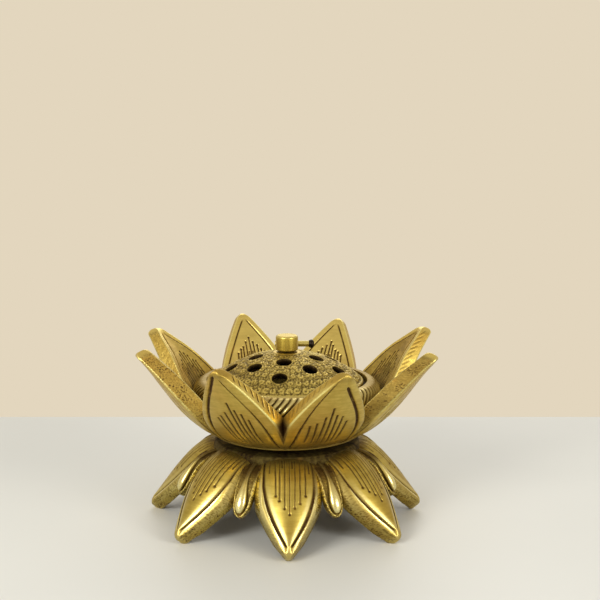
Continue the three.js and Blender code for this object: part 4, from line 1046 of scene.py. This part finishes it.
# the inner face is a smaller copy; the vents' walls and the rim join the two
copied = bmesh.ops.duplicate(bm, geom=bm.verts[:] + bm.edges[:] + bm.faces[:])
bmesh.ops.reverse_faces(bm, faces=only(bmesh.types.BMFace, copied["geom"]))
shrink = (domeRadius - lid["thickness"]) / domeRadius
centre = Vector((0, 0, domeCentre * mm))
bmesh.ops.scale(bm, vec=(shrink,) * 3, space=Matrix.Translation(-centre),
                verts=only(bmesh.types.BMVert, copied["geom"]))


def loops(edges):  # groups of edges that run on from one another
    left, groups = set(edges), []
    while left:
        group, front = [], [left.pop()]
        while front:
            edge = front.pop()
            group.append(edge)
            for vertex in edge.verts:
                for other in vertex.link_edges:
                    if other in left:
                        left.remove(other)
                        front.append(other)
        groups.append(group)
    return groups


def middleOf(edges):
    return sum((e.verts[0].co + e.verts[1].co for e in edges), Vector()) / (2 * len(edges))


holes = loops([e for e in bm.edges if e.is_boundary])
innerRim, outerRim = sorted((g for g in holes if len(g) > lid["cells"]), key=lambda g: middleOf(g).z)
rest = [g for g in holes if len(g) <= lid["cells"]]
while rest:
    first = rest.pop()
    second = min(rest, key=lambda g: (middleOf(g) - middleOf(first)).length)
    rest.remove(second)
    bmesh.ops.bridge_loops(bm, edges=first + second)
drop = (levels["domeSpring"] - levels["lidBottom"]) * mm
edges = outerRim
for k in range(lid["rimRows"]):
    made = bmesh.ops.extrude_edge_only(bm, edges=edges)["geom"]
    edges = only(bmesh.types.BMEdge, made)
    bmesh.ops.translate(bm, vec=(0, 0, -drop / lid["rimRows"]), verts=only(bmesh.types.BMVert, made))
bmesh.ops.bridge_loops(bm, edges=edges + innerRim)
bmesh.ops.recalc_face_normals(bm, faces=bm.faces)
bm.to_mesh(mesh)
bm.free()

points = readPoints(mesh) / mm
outward = points - [0, 0, domeCentre]
distance = np.linalg.norm(outward, axis=1)
outward /= distance[:, None]
top = distance > domeRadius - 0.02
radius = radiusOf(points)
random = np.random.default_rng(5)
marks = []
for ring, (reach, pitch, size) in enumerate(lid["punchRings"]):
    count = int(round(tau * reach / pitch))
    start = random.uniform(0, tau)
    loose = 0.1 + 0.05 * ring
    for i in range(count):
        r = reach + random.normal(0, loose)
        a = start + (i + random.normal(0, loose * 0.4)) * tau / count
        spot = onDome(r, a)[0]
        if min((spot - v[0]).length for v in vents) > lid["ventRadius"] + 0.6:
            marks.append((*spot, size * random.uniform(0.88, 1.08), random.uniform(-pi, pi)))
marks = np.array(marks)

# each mark is a bright raised ring, open on one side, round a dark hollow; the ground between is dark
raised = np.zeros(len(points))
for start in range(0, len(points), 8000):
    part = slice(start, start + 8000)
    gap = np.linalg.norm(points[part, None, :] - marks[None, :, :3], axis=2)
    nearest = np.argmin(gap, axis=1)
    rows = np.arange(len(nearest))
    size = marks[nearest, 3]
    offset = points[part] - marks[nearest, :3]
    facing = np.abs(((np.arctan2(offset[:, 1], offset[:, 0]) - marks[nearest, 4] + pi) % tau) - pi)
    raised[part] = pulse(gap[rows, nearest] - size * 0.68, size * 0.25, 0.28) * ramp(0.3, 0.7, facing)
grit = fall(0.24, 0.55, pits(points[:, 0], points[:, 1], 0.8, 31))
ground = (1 - raised) * (1 - 0.6 * grit)
ventGap = np.full(len(points), 9.0)
for vent in vents:
    away, aside = fromVent(points, vent)
    ventGap = np.where(away < 6, np.minimum(ventGap, aside - lid["ventRadius"]), ventGap)
calm = ramp(lid["bossRadius"] - 0.4, lid["bossRadius"] + 0.8, radius)
calm *= fall(30.2, 30.5, radius) * ramp(0.25, 0.55, ventGap)
rimLine = pulse(radius - lid["rimLine"], 0.12, 0.2)
sunk = ground * lid["punchDepth"] * calm + rimLine * 0.15
sunk += lid["ventBevel"] * (1 - np.clip(ventGap / 0.45, 0, 1)) ** 2
patina = most(ground * 0.85 * calm, fall(0.05, 0.3, ventGap), rimLine * 0.5)
points -= outward * (sunk * top)[:, None]
under = (distance < domeRadius - 0.3) & (radius < lid["radius"] - 0.5)
writePoints(mesh, points * mm)
paint(mesh, patina=np.where(top, patina, under),
      polish=np.where(top, 0.15 * (1 - patina) * calm + ramp(30.3, 30.8, radius) * 0.5, 0))
place(mesh, "lidDome", "lid", "lid", "lid_brass", "lid_dome")
print("lid made:", len(marks), "punch marks")

# Knob, pin and hinge

knob = {"radius": 4.5, "height": 6.1, "edge": 0.6, "bore": 1.8, "boreDepth": 4.3, "flatRadius": 2.0}
bottom = levels["knobBottom"]
top, boreTop = bottom + knob["height"], bottom + knob["boreDepth"]
mesh = turned("lidKnob", [(onAxis, boreTop), (knob["bore"], boreTop), (knob["bore"], bottom),
                          (knob["radius"] - 0.25, bottom), (knob["radius"], bottom + 0.3),
                          (knob["radius"], top - knob["edge"]), (knob["radius"] - knob["edge"], top),
                          (knob["flatRadius"], top), (onAxis, top)], 0.5, 96, arcSteps=4)
height = readPoints(mesh)[:, 2] / mm
# darker towards its foot; a painted highlight runs round its top edge
paint(mesh, patina=fall(0.0, 0.7, height - bottom) * 0.7, polish=pulse(height - top + 0.35, 0.25, 0.3) * 0.5)
place(mesh, "lidKnob", "lid", "turned", "polished_brass", "lid_knob")

pin = {"radius": 1.3, "left": -5.2, "right": 11.1, "headRadius": 1.85, "headLeft": 9.7, "headRight": 12.0}
turnToX = Matrix.Translation((0, levels["hingeBack"] * mm, levels["hingeHeight"] * mm))
turnToX = turnToX @ Matrix.Rotation(pi / 2, 4, "Y")
mesh = turned("hingePin", [(onAxis, pin["left"]), (pin["radius"], pin["left"]),
                           (pin["radius"], pin["right"]), (onAxis, pin["right"])], 0.3, 40, lying=turnToX)
paint(mesh, patina=0.12, polish=0.4)
place(mesh, "hingePin", "pin", "turned", "polished_brass", "hinge_pin", 50)
bore, left, right = pin["radius"] + 0.3, pin["headLeft"], pin["headRight"]
wide = pin["headRadius"]
profile = [(onAxis, pin["right"] + 0.3), (bore, pin["right"] + 0.3), (bore, left), (wide - 0.5, left),
           (wide, left + 0.6), (wide, right - 0.7), (wide * 0.6, right), (onAxis, right)]
mesh = turned("pinHead", profile, 0.6, 40, arcSteps=4, lying=turnToX)
place(mesh, "pinHead", "pin", "dark", "dark_metal", "pin_ball", 50)


def eased(node, name, body, finish, slot, width):  # a smooth bevelled stand-in for a small fitting
    bm = bmesh.new()
    bm.from_mesh(nodes[node].data)
    bmesh.ops.remove_doubles(bm, verts=bm.verts, dist=1e-6)
    bmesh.ops.dissolve_limit(bm, angle_limit=radians(0.5), verts=bm.verts, edges=bm.edges)
    sharp = [e for e in bm.edges if len(e.link_faces) == 2 and e.calc_face_angle(0) > radians(38)]
    bevel(bm, sharp, width, 2)
    bmesh.ops.triangulate(bm, faces=[f for f in bm.faces if len(f.verts) > 4])
    mesh = meshFrom(bm, name)
    paint(mesh, patina=0.15, polish=0)
    place(mesh, name, body, finish, slot, node, 32)


fittings = (
    ("hinge_clevis", "hingeClevis", "base", "turned", "polished_brass", 0.22),
    ("hinge_strap", "hingeStrap", "lid", "turned", "polished_brass", 0.22),
    ("strap_rivet_left", "strapRivetLeft", "lid", "turned", "polished_brass", 0.12),
    ("strap_rivet_right", "strapRivetRight", "lid", "turned", "polished_brass", 0.12),
    ("clevis_screw_left", "clevisScrewLeft", "base", "steel", "steel", 0.1),
    ("clevis_screw_right", "clevisScrewRight", "base", "steel", "steel", 0.1),
    ("knob_washer", "knobWasher", "lid", "steel", "steel", 0.12),
    ("knob_screw", "knobScrew", "lid", "steel", "steel", 0.12),
    ("through_bolt", "throughBolt", "base", "steel", "steel", 0.2),
    ("bolt_washer", "boltWasher", "base", "steel", "steel", 0.15),
    ("clamp_nut", "clampNut", "base", "steel", "steel", 0.25),
)
for fitting in fittings:
    eased(*fitting)
for node in nodes.values():
    node.data.materials.clear()
    node.data.materials.append(finishes["cast"])
print("hinge and fittings made:", len(fittings))

# Floor, light and camera

room = {
    "floorHalfWidth": 0.9, "floorFront": -0.8, "floorBack": 0.144, "floorEdge": 0.012,
    "floorTone": ink(226, 224, 213), "floorShade": ink(218, 216, 206), "floorRough": 0.5,
    "wallTone": ink(227, 214, 190), "wallLight": 0.52, "lampsAim": (0, 0, 0.035),
    "camera": (0.0, -0.3846, 0.1429), "tilt": 81.764, "lens": 58.04, "shift": 0.0219,
}
floorDeep, floorMiddle = room["floorBack"] - room["floorFront"], (room["floorBack"] + room["floorFront"]) / 2
bm = boxAt((0, floorMiddle, -room["floorEdge"] / 2),
           (room["floorHalfWidth"] * 2, floorDeep, room["floorEdge"]))
floor = bpy.data.objects.new("floor", meshFrom(bm, "floor"))
bpy.context.scene.collection.objects.link(floor)
made = Finish("paleFloor")
made.feed(Base_Color=made.blend(made.noise(6.0, 4.0), room["floorTone"], room["floorShade"]))
made.shader.inputs["Roughness"].default_value = room["floorRough"]
floor.data.materials.append(made.material)
floor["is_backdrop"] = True

world = bpy.data.worlds.new("paleRoom")
bpy.context.scene.world = world
world.use_nodes = True
tree = world.node_tree
tree.nodes.clear()
path = tree.nodes.new("ShaderNodeLightPath")
seen = path.outputs["Is Camera Ray"]
for ray in ("Is Glossy Ray", "Is Transmission Ray"):
    either = tree.nodes.new("ShaderNodeMath")
    either.operation, either.use_clamp = "ADD", True
    tree.links.new(seen, either.inputs[0])
    tree.links.new(path.outputs[ray], either.inputs[1])
    seen = either.outputs[0]
mixed, out = tree.nodes.new("ShaderNodeMixShader"), tree.nodes.new("ShaderNodeOutputWorld")
tree.links.new(seen, mixed.inputs[0])
tree.links.new(mixed.outputs[0], out.inputs[0])
for socket, tone, strength in ((1, (1, 1, 1, 1), room["wallLight"]), (2, room["wallTone"], 1.0)):
    light = tree.nodes.new("ShaderNodeBackground")
    light.inputs[0].default_value = tone
    light.inputs[1].default_value = strength
    tree.links.new(light.outputs[0], mixed.inputs[socket])

lamps = (
    ("windowLight", (-0.52, -0.62, 0.44), 0.34, 4.8),
    ("fillLight", (0.62, -0.55, 0.34), 0.32, 3.1),
    ("backLight", (0.1, 0.8, 0.6), 0.7, 2.2),
)
for name, spot, size, power in lamps:
    data = bpy.data.lights.new(name, "AREA")
    data.size = size
    data.energy = power
    lamp = bpy.data.objects.new(name, data)
    lamp.location = spot
    lamp.rotation_euler = (Vector(room["lampsAim"]) - Vector(spot)).to_track_quat("-Z", "Y").to_euler()
    bpy.context.scene.collection.objects.link(lamp)

data = bpy.data.cameras.new("photoView")
data.sensor_width = 36.0
data.sensor_fit = "HORIZONTAL"
data.lens = room["lens"]
data.shift_x = room["shift"]
data.clip_start = 0.01
camera = bpy.data.objects.new("photoView", data)
camera.location = room["camera"]
camera.rotation_euler = (radians(room["tilt"]), 0, 0)
bpy.context.scene.collection.objects.link(camera)
bpy.context.scene.camera = camera
bpy.context.scene.view_settings.view_transform = "Standard"
print("stage set")

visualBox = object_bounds()
sizes = {"cad": [list(corner) for corner in cadBox], "visual": [list(corner) for corner in visualBox]}
